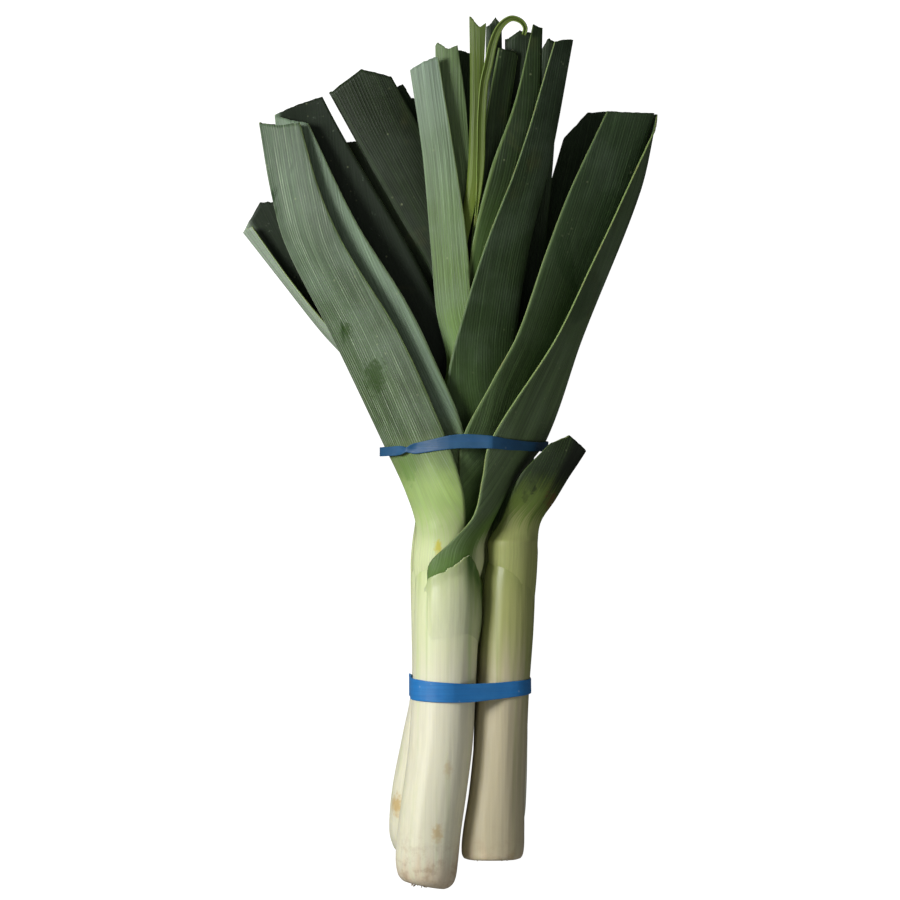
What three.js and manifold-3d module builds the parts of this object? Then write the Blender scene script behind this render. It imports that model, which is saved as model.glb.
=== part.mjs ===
// A bunch of trimmed leeks held by two rubber bands, lying on its side.
// Millimetres. +X right, +Y from the roots to the leaf tips, +Z up from the table.
import * as THREE from "three";
import Module from "manifold-3d";

const wasm = await Module();
wasm.setup();
const { Manifold, Mesh: SolidMesh } = wasm;

// ---- driving dimensions ------------------------------------------------------------------
const LEAF_THICKNESS = 1.4;
const LEAF_GAP = 0.45; // clear air kept between neighbouring leaves
const LEAF_STEPS = 11; // stations along a leaf
const HALF_POINTS = 4; // section points on each side of the keel
const NECK_CURL_FADE = 34; // length over which a sheath opens into a blade
const BLADE_TURN = 16; // degrees that each half of an open blade still curls
const SHANK_POINTS = 24; // points around a shank
const ORIGIN_SHIFT = [0, -0.9, 0.2]; // puts the origin at the middle of the base
const BAND_WIDTH = 9.5;
const BAND_THICKNESS = 1.5;
const BAND_CLEARANCE = 0.45;
const LOWER_BAND_Y = -134;
const UPPER_BAND_Y = 4.5;
const CURL_WIDTH = 4.2; // the curled heart leaf
const CURL_THICKNESS = 1.6;

// Centre [x, z] of each neck, where the green leaves leave the white shank.
const NECK_FRONT = [-2.5, 55];
const NECK_REAR_LEFT = [-6, 18.3];
const NECK_REAR_RIGHT = [27.2, 15.6];

// Shank rings: [y, x, z, half width, half height], root end first.
const SHANKS = {
  shank_front_left: [
    [-242.4, -13.6, 56, 9, 9.4], [-241, -13.4, 56, 13, 13.2], [-237, -13.2, 56, 16, 16.2],
    [-228, -13, 56, 17.4, 17.5], [-212, -11.6, 56, 17.7, 17.8], [-190, -8.6, 56, 17.9, 17.8],
    [-165, -5.4, 56, 17.8, 17.8], [-134, -3.5, 56, 17.5, 17.6], [-100, -2.2, 56, 18.2, 17.8],
    [-80, -1.8, 55.6, 18.2, 18], [-67, -2, 55.2, 17.6, 17.8], [-64.6, -2.2, 55, 15.6, 15.6],
    [-47, -2.6, 55, 15.2, 15.2], [-45, -2.6, 55, 14, 14],
  ],
  shank_rear_left: [
    [-226, -15.5, 19, 9, 9.4], [-224.6, -15.6, 19, 13.4, 13.4], [-221, -15.8, 19, 16.4, 16.2],
    [-212, -16.4, 19.1, 18, 17.5], [-190, -14.6, 19.2, 18, 17.5], [-160, -9, 19.2, 17.8, 17.5],
    [-134, -4.6, 19.1, 17.4, 17.4], [-100, -4.6, 19, 17, 17.2], [-70, -5.4, 18.8, 16.6, 16.6],
    [-46, -6, 18.4, 15.8, 15.6], [-43.8, -6, 18.3, 14.2, 14],
  ],
  shank_front_right: [
    [-228.4, 23.4, 46.6, 12, 12], [-227.4, 23.4, 46.6, 15.6, 15], [-223, 23.6, 46.6, 17.2, 15.5],
    [-212, 24.2, 46.6, 17, 15.4], [-190, 26, 46.6, 15.4, 15.2], [-160, 28.2, 46.6, 14.7, 15.1],
    [-134, 29.6, 46.6, 14.4, 15.1], [-100, 31.6, 46.6, 14.6, 15.2], [-70, 33.2, 46.6, 14.2, 14.6],
    [-54, 35, 46.8, 13.2, 12.8], [-43, 38.4, 47, 11.2, 9.6], [-40.4, 39.2, 47.2, 10.2, 8.2],
  ],
  shank_rear_right: [
    [-216, 27, 15.6, 8, 8.2], [-214.8, 27, 15.6, 11.6, 11.4], [-211, 27.2, 15.6, 13.9, 13.6],
    [-200, 27.6, 15.8, 15.2, 14.1], [-165, 28.6, 15.8, 15.2, 14.1], [-134, 28.8, 15.8, 15, 14.1],
    [-100, 28.2, 15.8, 14.6, 14], [-70, 27.6, 15.8, 14, 14], [-46, 27.2, 15.6, 13.2, 13],
    [-43.8, 27.2, 15.6, 12, 12],
  ],
};

// Leaf guides. sheath: [y, radius, keel, near and far edge angles] around a neck, angles in degrees
// from +X towards +Z. rows: [y, keel x, keel z, near x, near z, far x, far z], where
// near is the half facing up and far the half beneath. cut: how far the trimmed top runs past the
// last row at the near edge, near middle, keel, far middle and far edge.
const LEAVES = [
  ["leaf_right_outer", { neck: NECK_FRONT, sheath: [-62.5, 17.4, -8, 119, -104], rows: [
    [-50, 18.4, 51, 0.5, 72.2, 3, 38], [-36, 24.4, 46, 12.9, 71, 8, 35], [-15, 37, 36, 18, 72, 16, 29],
    [6, 54, 33, 22.5, 73, 37, 24.5], [65, 75, 30, 60, 67, 61, 20], [146, 107, 26, 98, 47, 97, 16],
    [189, 116.5, 26, 115, 33, 113.5, 18]], cut: [-9, -4, 1, 1, 0] }],
  ["leaf_left_outer", { neck: NECK_FRONT, sheath: [-43, 15.6, 180, 44, 288], rows: [
    [-22, -25, 52, 7.3, 71.5, -8, 40], [6, -38.5, 47, -1.7, 71, -14, 34],
    [65, -67, 43, -28, 64, -42, 32], [115, -92.4, 40, -59, 57, -70, 30],
    [146, -101, 38, -73, 52, -82, 29], [184, -107.5, 36, -84, 47, -91, 28]],
    cut: [0, -1.4, 0.6, 0, 0] }],
  ["leaf_right_inner", { neck: NECK_FRONT, sheath: [-42, 13.8, -5, 107, -95], rows: [
    [-22, 22, 44, 4, 67, 6, 36], [6, 47, 36.5, 6.5, 66.5, 30, 30],
    [37, 57, 35, 22.4, 64, 40, 28], [65, 69, 33, 37.5, 61, 55, 26],
    [110, 87, 31, 53.2, 53, 74, 24], [146, 101.5, 30, 67, 46, 89, 22.5],
    [190, 115.4, 28, 88, 38, 100, 22.5]], cut: [1, 0.6, 0.6, 0, -1] }],
  ["leaf_left_inner", { neck: NECK_FRONT, sheath: [-40, 12, 180, 72, 280], rows: [
    [-20, -19.5, 52.5, 3, 63.5, -2, 44], [6, -32.5, 47.5, 8.8, 62.5, 0, 38.5],
    [57, -58, 45, -11.2, 58.5, 3, 39], [85, -71.5, 43, -25.2, 54, -8, 37.6],
    [130, -91, 40, -53.2, 48, -32, 35.5], [186, -99, 35.8, -79.5, 42, -71.7, 35]],
    cut: [-2, 0, 3, 9, 13.4] }],
  ["leaf_middle_right", { neck: NECK_FRONT, sheath: [-38, 10.2, 0, 104, -84], rows: [
    [-18, 16, 49, -3, 59.6, 0, 47], [6, 38, 41.4, -4, 57, 6, 43.4],
    [43, 37, 42, -1.1, 54.6, 10, 43.4], [65, 37.5, 42, 3.9, 54, 12, 42],
    [115, 45, 42, 19.6, 54, 26, 39.6], [165, 57, 42, 39, 53, 42, 39],
    [230, 68.9, 42, 58.5, 50, 61, 39.6]], cut: [-1, 0.6, 0.8, 0, -1] }],
  ["leaf_middle_left", { neck: NECK_FRONT, sheath: [-36, 8.4, 180, 84, 250], rows: [
    [-16, -13, 52.4, 2, 55.4, -4, 49.6], [6, -17, 49.6, 8, 51.6, 1, 46],
    [45, -2, 46, 10.6, 50.4, 5, 44.8], [79, -7.8, 45.6, 11.6, 50.4, 2, 43.4],
    [118, -11.2, 45.6, 9.4, 50.4, 0, 42.6], [168, -15.7, 46, 2, 50.2, -6, 42.8],
    [213, -22.4, 47, -6.6, 50.6, -12, 44.2]], cut: [4, 8, 0.6, -1, -3] }],
  ["leaf_heart_edge", { rows: [
    [38, 23.7, 46.1, 7, 47.4, 25, 45.1], [75, 26.7, 45.7, 8, 47, 28, 44.7],
    [115, 31.7, 45.9, 12.3, 48.2, 33, 44.9], [157, 43.7, 46.2, 22.4, 49.4, 45, 45.1],
    [195, 49.1, 46.7, 36, 49.4, 50.4, 45.5], [237, 50.2, 48.4, 46.4, 49.6, 51.4, 47.1]],
    cut: [2, 1, 0, 0, 0] }],
  ["leaf_heart_right", { rows: [
    [56, 19.7, 43.1, 9, 43.6, 21, 42.1], [112, 23.7, 42.8, 11.4, 44.4, 25, 41.7],
    [149, 28.2, 42.8, 15.7, 45, 29.5, 41.7], [190, 31.7, 43.2, 20.5, 45.4, 33, 42.1],
    [224, 36.3, 44.2, 27, 46, 37.6, 43.1]], cut: [2, 1, 0, -1, -2] }],
  ["leaf_heart_tall", { rows: [
    [84, 3.3, 42.7, 6.4, 43, 2, 41.7], [112, 4.9, 44.7, 9, 45.2, 3.6, 43.7],
    [150, 10.8, 47.2, 16, 47.8, 9.5, 46.1], [185, 12.6, 48.7, 17.6, 49.2, 11.3, 47.7],
    [215, 12.7, 49.7, 19, 50.2, 11.4, 48.7], [240, 12.5, 50.5, 20.2, 51.2, 11.2, 49.5]],
    cut: [-0.6, -2.8, 1.8, 2.8, 3.2] }],
  ["leaf_heart_left", { rows: [
    [92, 0.3, 41, 6, 41.2, -1, 40.1], [120, 1.3, 41.3, 9, 41.6, 0, 40.3],
    [155, -1.7, 41.9, 11, 43, -3, 40.9], [190, -5.7, 43.1, 9.4, 44, -7, 42.1],
    [228, -6.7, 44.7, 4.2, 45.6, -8, 43.7]], cut: [-0.6, -2.6, 1, 0.4, -1] }],
  ["leaf_centre_wide", { neck: NECK_REAR_LEFT, sheath: [-42.6, 13.6, 160, 18, 186], rows: [
    [6, -11.7, 28.1, 13, 29.6, -13, 27.1],
    [60, -5.7, 33.1, 18, 34.2, -7, 32.1], [98, -8.2, 34, 19, 34.4, -9.5, 33.1],
    [132, -26.7, 32.8, 8, 33.8, -28, 31.9], [175, -50.7, 31, -14, 32, -52, 30.1],
    [206, -66.7, 29.4, -33, 30.4, -68, 28.5]], cut: [5, 9, -3.4, -3.6, -4] }],
  ["leaf_centre_left", { neck: NECK_REAR_LEFT, sheath: [-42, 11.6, 164, 50, 196], rows: [
    [6, -15.7, 24.5, 4, 25.6, -17, 23.5],
    [60, -13.7, 29.1, 1, 30.2, -15, 28.1], [96, -18.7, 29.7, -2, 30.6, -20, 28.7],
    [121, -34.7, 29.1, -17, 30, -36, 28.1], [170, -58.7, 27.7, -43.6, 28.8, -60, 26.7]],
    cut: [1, 5, 4, 3, 2] }],
  ["leaf_left_low", { neck: NECK_REAR_LEFT, sheath: [-42.6, 13.6, 222, 194, 318], rows: [
    [6, -26, 17, -10, 20.6, -6, 11.6],
    [40, -48, 16.6, -35, 21, -30, 11], [68, -73, 16, -66, 21.4, -56, 10.6],
    [96, -94.6, 15, -89.6, 20.8, -79.4, 10.6], [126, -117, 14.4, -111.6, 19.6, -98, 11.6]],
    cut: [1, 0, -2, 15, 15.6] }],
  ["leaf_rear_middle", { neck: NECK_REAR_LEFT, sheath: [-42, 11.6, 350, 398, 300], rows: [
    [6, 5.7, 15.5, -9, 16.4, 7, 14.5], [60, 6.7, 21.5, -6, 22.6, 8, 20.5],
    [120, 6.7, 24.5, -9, 25.6, 8, 23.5], [160, -1.3, 25.1, -19, 26, 0, 24.1],
    [203, -22.3, 25.1, -31, 26, -21, 24.1]], cut: [2, 4, -4, -4, -4] }],
  ["leaf_centre_low", { neck: NECK_REAR_LEFT, sheath: [-41, 9.6, 150, 34, 190], rows: [
    [6, 6.3, 20.7, 14.6, 21.6, 5, 19.7],
    [60, -0.7, 26.5, 12.4, 27.6, -2, 25.5], [120, -0.7, 29.5, 14.4, 30.6, -2, 28.5],
    [170, 1.3, 33.1, 16, 34.2, 0, 32.1], [223, 4.1, 38.2, 11.8, 39.4, 2.8, 37.1]],
    cut: [0, 1.6, 2.4, 2, 1] }],
  ["leaf_centre_pointed", { neck: NECK_REAR_LEFT, sheath: [-40, 7.6, 190, 50, 250], rows: [
    [6, 17.7, 17.9, 24.6, 18.6, 16.4, 16.9],
    [60, 14.3, 24.5, 24, 25.4, 13, 23.5], [120, 16.3, 29.7, 26, 30.8, 15, 28.7],
    [180, 20.3, 34.9, 29.6, 36, 19, 33.9], [237, 22, 39.6, 29, 40.4, 20.7, 38.5]],
    cut: [2, 6.4, 2, 1.6, 1.4] }],
  ["leaf_rear_top", { neck: NECK_REAR_RIGHT, sheath: [-42.6, 11.4, 166, 6, 184], rows: [
    [6, 27.3, 22.1, 40, 23, 26, 21.1],
    [60, 28.3, 29.7, 38.6, 30.6, 27, 28.7], [120, 29.3, 34.7, 40, 35.8, 28, 33.7],
    [180, 32.7, 37.1, 44.6, 38.4, 31.4, 36.1], [230, 32.3, 40.5, 46, 41.8, 31, 39.5]],
    cut: [4.6, 6, 1.4, 1, 1] }],
  ["leaf_rear_olive", { neck: NECK_REAR_RIGHT, sheath: [-42, 9.4, 160, 0, 210], rows: [
    [6, 35.3, 17.1, 49, 18.4, 34, 16.1],
    [60, 37.3, 24.7, 48.6, 25.8, 36, 23.7], [120, 43.3, 30.1, 54, 31.2, 42, 29.1],
    [180, 48.3, 34.2, 59, 35.4, 47, 33.1], [227, 51.7, 37.6, 58.6, 38.8, 50.4, 36.5]],
    cut: [3, 5, -1, -1, -1] }],
  ["leaf_right_low", { neck: NECK_REAR_RIGHT, sheath: [-42.6, 11.4, 212, 190, 350], rows: [
    [6, 23, 9.8, 46, 11.4, 36, 5],
    [65, 36, 8.4, 62, 10, 54, 3.6], [120, 48, 7.4, 76, 9, 68, 2.6],
    [184, 64, 6.6, 92, 7.8, 84, 2.4]], cut: [9, 8, -7, 2, 8] }],
  ["stump_outer", { thick: 1.8, turn: 46, rows: [
    [-38.4, 51, 46, 28.6, 52, 30, 41], [-27, 58.8, 46, 33, 55, 36, 40.6],
    [-13.4, 67, 46.6, 39.2, 57, 44, 42], [-6, 71.6, 47.4, 46.4, 57, 51, 43],
    [2, 76.2, 48.4, 55.6, 57, 60, 44.4]], cut: [2.4, 7, -1.4, -2, -1] }],
  ["stump_inner", { turn: 36, rows: [
    [-36, 48, 46.4, 32.6, 50.4, 33, 44.2], [-24, 55.4, 46.6, 39, 53, 40, 43.8],
    [-12, 62.4, 47.2, 45.6, 54, 47, 44.4], [-1, 70, 48.2, 56, 54, 58.6, 45.6]],
    cut: [1, 3, -2, -2, -2] }],
];

// Path of the curled youngest leaf: [x, y, z].
const CURL_PATH = [
  [17.2, 166, 51.6], [17.6, 186, 53], [19, 205, 54], [21.4, 216, 54.6], [24.4, 229, 55],
  [28.4, 238, 55.4], [34, 242, 56], [39.4, 240.6, 56], [42, 236.6, 55.4], [41.4, 233, 54.6],
];

// ---- small maths -------------------------------------------------------------------------
const rad = (degrees) => (degrees * Math.PI) / 180;

/** Catmull-Rom value of rows (keyed by their first entry) at key y. */
function guide(rows, y) {
  let i = 0;
  while (i < rows.length - 2 && y > rows[i + 1][0]) i += 1;
  const [a, b] = [rows[i], rows[i + 1]];
  const before = rows[Math.max(i - 1, 0)];
  const after = rows[Math.min(i + 2, rows.length - 1)];
  const span = b[0] - a[0];
  const u = (y - a[0]) / span;
  const slope = (p, q, k) => ((q[k] - p[k]) / (q[0] - p[0])) * span;
  return a.map((_, k) => {
    const m0 = slope(before, b, k);
    const m1 = slope(a, after, k);
    const [u2, u3] = [u * u, u * u * u];
    return (2 * u3 - 3 * u2 + 1) * a[k] + (u3 - 2 * u2 + u) * m0
      + (3 * u2 - 2 * u3) * b[k] + (u3 - u2) * m1;
  });
}

/** Point at fraction s of an arc from p to q that turns by the given angle, bulging to side. */
function arcPoint(p, q, turn, side, s) {
  const [dx, dz] = [q[0] - p[0], q[1] - p[1]];
  const chord = Math.hypot(dx, dz) || 1e-6;
  const radius = chord / (2 * Math.sin(turn / 2));
  const angle = (s - 0.5) * turn;
  const along = radius * Math.sin(angle) + chord / 2;
  const rise = side * radius * (Math.cos(angle) - Math.cos(turn / 2));
  const [ux, uz] = [dx / chord, dz / chord];
  return [p[0] + along * ux - rise * uz, p[1] + along * uz + rise * ux];
}

/** First row of a leaf that starts as a sheath around its neck. */
function sheathRow([y, radius, ...angles], [x, z]) {
  return [y, ...angles.flatMap((angle) => [
    x + radius * Math.cos(rad(angle)), z + radius * Math.sin(rad(angle)),
  ])];
}

// ---- leaf --------------------------------------------------------------------------------
/** Middle surface of a leaf as a grid of points, stations along by points across. */
function leafGrid(spec) {
  const rows = spec.sheath ? [sheathRow(spec.sheath, spec.neck), ...spec.rows] : spec.rows;
  const [start, end] = [rows[0][0], rows[rows.length - 1][0]];
  const blade = rad(spec.turn ?? BLADE_TURN);
  const [, , keelAngle, nearAngle, farAngle] = spec.sheath ?? [];
  const wraps = spec.sheath
    ? [nearAngle, farAngle].map((angle) => rad(Math.abs(angle - keelAngle))) : [blade, blade];
  const side = rows[1][1] > rows[1][3] ? -1 : 1; // keel right or left of its near edge
  const grid = [];
  for (let i = 0; i <= LEAF_STEPS; i += 1) {
    const share = i / LEAF_STEPS;
    const y = start + (end - start) * share;
    const [, kx, kz, nx, nz, fx, fz] = guide(rows, y);
    const fade = Math.exp(-(y - start) / NECK_CURL_FADE);
    const turns = wraps.map((wrap) => blade + (wrap - blade) * fade);
    const line = [];
    for (let j = HALF_POINTS; j > 0; j -= 1) {
      line.push(arcPoint([kx, kz], [nx, nz], turns[0], side, j / HALF_POINTS));
    }
    line.push([kx, kz]);
    for (let j = 1; j <= HALF_POINTS; j += 1) {
      line.push(arcPoint([kx, kz], [fx, fz], turns[1], -side, j / HALF_POINTS));
    }
    const reach = Math.max(0, (share - 0.72) / 0.28) ** 2;
    grid.push(line.map(([x, z], j) => {
      const place = (j / (2 * HALF_POINTS)) * 4;
      const low = Math.min(3, Math.floor(place));
      const shift = spec.cut[low] + (spec.cut[low + 1] - spec.cut[low]) * (place - low);
      return new THREE.Vector3(x, y + shift * reach, z);
    }));
  }
  return grid;
}

/** Unit normals of a grid, each the mean of its neighbouring faces. */
function gridNormals(grid) {
  return grid.map((line, i) => line.map((_, j) => {
    const up = grid[Math.min(i + 1, grid.length - 1)][j];
    const down = grid[Math.max(i - 1, 0)][j];
    const right = line[Math.min(j + 1, line.length - 1)];
    const left = line[Math.max(j - 1, 0)];
    return new THREE.Vector3().subVectors(right, left)
      .cross(new THREE.Vector3().subVectors(up, down)).normalize();
  }));
}

/** The same grid with its outer points moved outwards by a margin. */
function widened(grid, margin) {
  const [lastRow, lastColumn] = [grid.length - 1, grid[0].length - 1];
  const away = (p, inner) => new THREE.Vector3().subVectors(p, inner).setLength(margin);
  return grid.map((line, i) => line.map((p, j) => {
    const moved = p.clone();
    if (j === 0) moved.add(away(p, line[1]));
    if (j === lastColumn) moved.add(away(p, line[lastColumn - 1]));
    if (i === 0) moved.add(away(p, grid[1][j]));
    if (i === lastRow) moved.add(away(p, grid[lastRow - 1][j]));
    return moved;
  }));
}

/** Closed solid with the given thickness about a grid of points. */
function thickened(grid, thickness) {
  const [rows, columns] = [grid.length, grid[0].length];
  const normals = gridNormals(grid);
  const points = [];
  for (const sign of [0.5, -0.5]) {
    grid.forEach((line, i) => line.forEach((p, j) => {
      points.push(p.clone().addScaledVector(normals[i][j], sign * thickness));
    }));
  }
  const at = (layer, i, j) => layer * rows * columns + i * columns + j;
  const faces = [];
  const quad = (a, b, c, d) => faces.push(a, b, c, a, c, d);
  for (let i = 0; i < rows - 1; i += 1) {
    for (let j = 0; j < columns - 1; j += 1) {
      quad(at(0, i, j), at(0, i, j + 1), at(0, i + 1, j + 1), at(0, i + 1, j));
      quad(at(1, i, j), at(1, i + 1, j), at(1, i + 1, j + 1), at(1, i, j + 1));
    }
  }
  for (let i = 0; i < rows - 1; i += 1) {
    quad(at(0, i, 0), at(0, i + 1, 0), at(1, i + 1, 0), at(1, i, 0));
    const j = columns - 1;
    quad(at(0, i, j), at(1, i, j), at(1, i + 1, j), at(0, i + 1, j));
  }
  for (let j = 0; j < columns - 1; j += 1) {
    quad(at(0, 0, j), at(1, 0, j), at(1, 0, j + 1), at(0, 0, j + 1));
    const i = rows - 1;
    quad(at(0, i, j), at(0, i, j + 1), at(1, i, j + 1), at(1, i, j));
  }
  return solidOf(points, faces);
}

// ---- solids ------------------------------------------------------------------------------
/** manifold-3d solid from points and triangle indices, turned outwards if it came inside out. */
function solidOf(points, faces) {
  const vertProperties = new Float32Array(points.flatMap((p) => [p.x, p.y, p.z]));
  const build = (indices) => new Manifold(new SolidMesh({
    numProp: 3, vertProperties, triVerts: new Uint32Array(indices),
  }));
  const solid = build(faces);
  if (solid.volume() > 0) return solid;
  const turned = [];
  for (let k = 0; k < faces.length; k += 3) turned.push(faces[k], faces[k + 2], faces[k + 1]);
  return build(turned);
}

/** Skin over a list of closed rings, capped by a fan at each end. */
function loft(rings) {
  const count = rings[0].length;
  const points = rings.flat();
  const faces = [];
  for (let i = 0; i < rings.length - 1; i += 1) {
    for (let j = 0; j < count; j += 1) {
      const next = (j + 1) % count;
      const [a, b] = [i * count + j, i * count + next];
      faces.push(a, b, b + count, a, b + count, a + count);
    }
  }
  for (const [ring, flip] of [[0, true], [rings.length - 1, false]]) {
    const middle = new THREE.Vector3();
    rings[ring].forEach((p) => middle.addScaledVector(p, 1 / count));
    points.push(middle);
    for (let j = 0; j < count; j += 1) {
      const [a, b] = [ring * count + j, ring * count + ((j + 1) % count)];
      faces.push(points.length - 1, flip ? b : a, flip ? a : b);
    }
  }
  return solidOf(points, faces);
}

function shankSolid(rings) {
  return loft(rings.map(([y, x, z, w, h]) => {
    const ring = [];
    for (let j = 0; j < SHANK_POINTS; j += 1) {
      const angle = (2 * Math.PI * j) / SHANK_POINTS;
      ring.push(new THREE.Vector3(x + w * Math.cos(angle), y, z + h * Math.sin(angle)));
    }
    return ring;
  }));
}

/** The curled leaf: a flat strip swept along its path. */
function curlSolid() {
  const curve = new THREE.CatmullRomCurve3(CURL_PATH.map((p) => new THREE.Vector3(...p)));
  const steps = 22;
  const rings = [];
  for (let i = 0; i <= steps; i += 1) {
    const p = curve.getPoint(i / steps);
    const t = curve.getTangent(i / steps);
    const across = new THREE.Vector3(t.y, -t.x, 0).normalize();
    const taper = 1 - 0.5 * Math.max(0, (i / steps - 0.7) / 0.3);
    rings.push([[1, 1], [-1, 1], [-1, -1], [1, -1]].map(([u, v]) => p.clone()
      .addScaledVector(across, (u * CURL_WIDTH * taper) / 2)
      .add(new THREE.Vector3(0, 0, (v * CURL_THICKNESS) / 2))));
  }
  return loft(rings);
}

/** Convex outline of [x, z] points, anticlockwise. */
function outline(points) {
  const sorted = [...points].sort((p, q) => p[0] - q[0] || p[1] - q[1]);
  const turn = (o, a, b) => (a[0] - o[0]) * (b[1] - o[1]) - (a[1] - o[1]) * (b[0] - o[0]);
  const half = (list) => {
    const chain = [];
    for (const p of list) {
      while (chain.length > 1 && turn(chain[chain.length - 2], chain[chain.length - 1], p) <= 0) {
        chain.pop();
      }
      chain.push(p);
    }
    return chain.slice(0, -1);
  };
  return [...half(sorted), ...half(sorted.reverse())];
}

/** Outline pushed out by a distance, with round corners. */
function grown(points, distance) {
  const swollen = points.flatMap(([x, z]) => {
    const disc = [];
    for (let k = 0; k < 16; k += 1) {
      const angle = (2 * Math.PI * k) / 16;
      disc.push([x + distance * Math.cos(angle), z + distance * Math.sin(angle)]);
    }
    return disc;
  });
  return outline(swollen);
}

/** A rubber band pulled tight around everything that crosses its width. */
function bandSolid(solids, y) {
  const [low, high] = [y - BAND_WIDTH / 2, y + BAND_WIDTH / 2];
  const inside = [];
  for (const solid of solids) {
    const slab = solid.trimByPlane([0, 1, 0], low - 0.5).trimByPlane([0, -1, 0], -high - 0.5);
    const { vertProperties } = slab.getMesh();
    for (let k = 0; k < vertProperties.length; k += 3) {
      inside.push([vertProperties[k], vertProperties[k + 2]]);
    }
  }
  const hull = outline(inside);
  const prism = (distance, from, to) => wasm.CrossSection.ofPolygons([grown(hull, distance)])
    .simplify(0.12).extrude(to - from).rotate([90, 0, 0]).translate([0, to, 0]);
  return prism(BAND_CLEARANCE + BAND_THICKNESS, low, high)
    .subtract(prism(BAND_CLEARANCE, low - 1, high + 1));
}

/** The largest separate body of a solid. */
function largest(solid) {
  return solid.decompose().reduce((best, part) => (part.volume() > best.volume() ? part : best));
}

// ---- assembly ----------------------------------------------------------------------------
function toMesh(name, solid, colour, roughness) {
  const { vertProperties, triVerts } = solid.getMesh();
  const geometry = new THREE.BufferGeometry();
  geometry.setAttribute("position", new THREE.BufferAttribute(new Float32Array(vertProperties), 3));
  geometry.setIndex(new THREE.BufferAttribute(new Uint32Array(triVerts), 1));
  geometry.computeVertexNormals();
  const mesh = new THREE.Mesh(geometry, new THREE.MeshStandardMaterial({ color: colour, roughness }));
  mesh.name = name;
  return mesh;
}

/** Leaves in order, each one cleared of the shanks and of every leaf before it. */
function clearedLeaves(shanks) {
  const kept = [];
  for (const [name, spec] of LEAVES) {
    const grid = leafGrid(spec);
    const thickness = spec.thick ?? LEAF_THICKNESS;
    let solid = thickened(grid, thickness);
    for (const shank of shanks) solid = solid.subtract(shank);
    for (const other of kept) solid = solid.subtract(other.swollen);
    const swollen = thickened(widened(grid, LEAF_GAP), thickness + 2 * LEAF_GAP);
    kept.push({ name, solid: largest(solid), swollen });
  }
  return kept;
}

const LEAF_COLOURS = { left: 0x6f8f62, right: 0x3c5a3a, middle: 0x8fae7c, heart: 0x93b44e };

function leafColour(name) {
  const key = Object.keys(LEAF_COLOURS).find((word) => name.includes(word));
  return LEAF_COLOURS[key] ?? 0x35503a;
}

function build() {
  const group = new THREE.Group();
  const shanks = Object.entries(SHANKS).map(([name, rings]) => ({ name, solid: shankSolid(rings) }));
  const leaves = clearedLeaves(shanks.map(({ solid }) => solid));
  const curl = curlSolid();
  for (const { name, solid } of shanks) group.add(toMesh(name, solid, 0xe4e8cf, 0.45));
  for (const { name, solid } of leaves) group.add(toMesh(name, solid, leafColour(name), 0.55));
  group.add(toMesh("leaf_heart_curl", curl, 0xa6c25a, 0.5));
  const long = leaves.filter(({ name }) => !name.startsWith("stump"));
  const bands = [
    ["band_lower", bandSolid(shanks.map(({ solid }) => solid), LOWER_BAND_Y)],
    ["band_upper", bandSolid(long.map(({ solid }) => solid), UPPER_BAND_Y)],
  ];
  for (const [name, solid] of bands) group.add(toMesh(name, solid, 0x2f7fc4, 0.6));
  for (const mesh of group.children) mesh.geometry.translate(...ORIGIN_SHIFT);
  return group;
}

export default build();
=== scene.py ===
"""Bunch of trimmed leeks tied with two rubber bands and laid on its side.

Metres, in the row frame: +X right, +Y from the roots to the leaf tips, +Z up from the table.
Guides are written in millimetres and turned to metres as each mesh is placed.
"""

import logging
import math
import random
from dataclasses import dataclass, replace
from enum import Enum
from typing import Callable, Optional, Sequence

import bmesh
import bpy
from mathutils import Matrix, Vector, noise


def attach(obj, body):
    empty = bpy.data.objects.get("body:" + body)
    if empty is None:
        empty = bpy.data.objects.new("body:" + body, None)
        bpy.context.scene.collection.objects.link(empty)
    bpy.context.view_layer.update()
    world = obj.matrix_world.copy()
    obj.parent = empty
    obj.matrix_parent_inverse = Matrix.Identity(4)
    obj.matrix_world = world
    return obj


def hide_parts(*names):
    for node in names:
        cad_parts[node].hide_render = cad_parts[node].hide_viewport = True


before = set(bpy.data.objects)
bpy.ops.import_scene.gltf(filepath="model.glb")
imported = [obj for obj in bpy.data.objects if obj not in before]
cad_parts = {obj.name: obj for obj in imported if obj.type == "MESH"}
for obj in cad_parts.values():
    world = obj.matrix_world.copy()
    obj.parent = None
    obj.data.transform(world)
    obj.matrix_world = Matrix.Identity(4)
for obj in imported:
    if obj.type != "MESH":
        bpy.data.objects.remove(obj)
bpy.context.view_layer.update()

LOG = logging.getLogger("leek_bunch")
MM = 0.001
ORIGIN_SHIFT = Vector((0.0, -0.9, 0.2))
BODY = "root"

FLOAT = "NodeSocketFloat"
VECTOR = "NodeSocketVector"

Row = Sequence[float]


def srgb(red: float, green: float, blue: float) -> tuple[float, float, float, float]:
    """Linear colour with alpha from 0 to 255 screen values.

    Args:
        red: screen red.
        green: screen green.
        blue: screen blue.

    Returns:
        Linear red, green, blue and an alpha of one.
    """

    def linear(value: float) -> float:
        """Linear share of one screen value."""
        share = value / 255.0
        return share / 12.92 if share <= 0.04045 else ((share + 0.055) / 1.055) ** 2.4

    return (linear(red), linear(green), linear(blue), 1.0)


class Slot(Enum):
    """Material slots of the record."""

    SHANK = "shank"
    LEAF_OUTER = "leaf_outer"
    LEAF_DARK = "leaf_dark"
    LEAF_PALE = "leaf_pale"
    LEAF_HEART = "leaf_heart"
    BAND = "band_blue"


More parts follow.
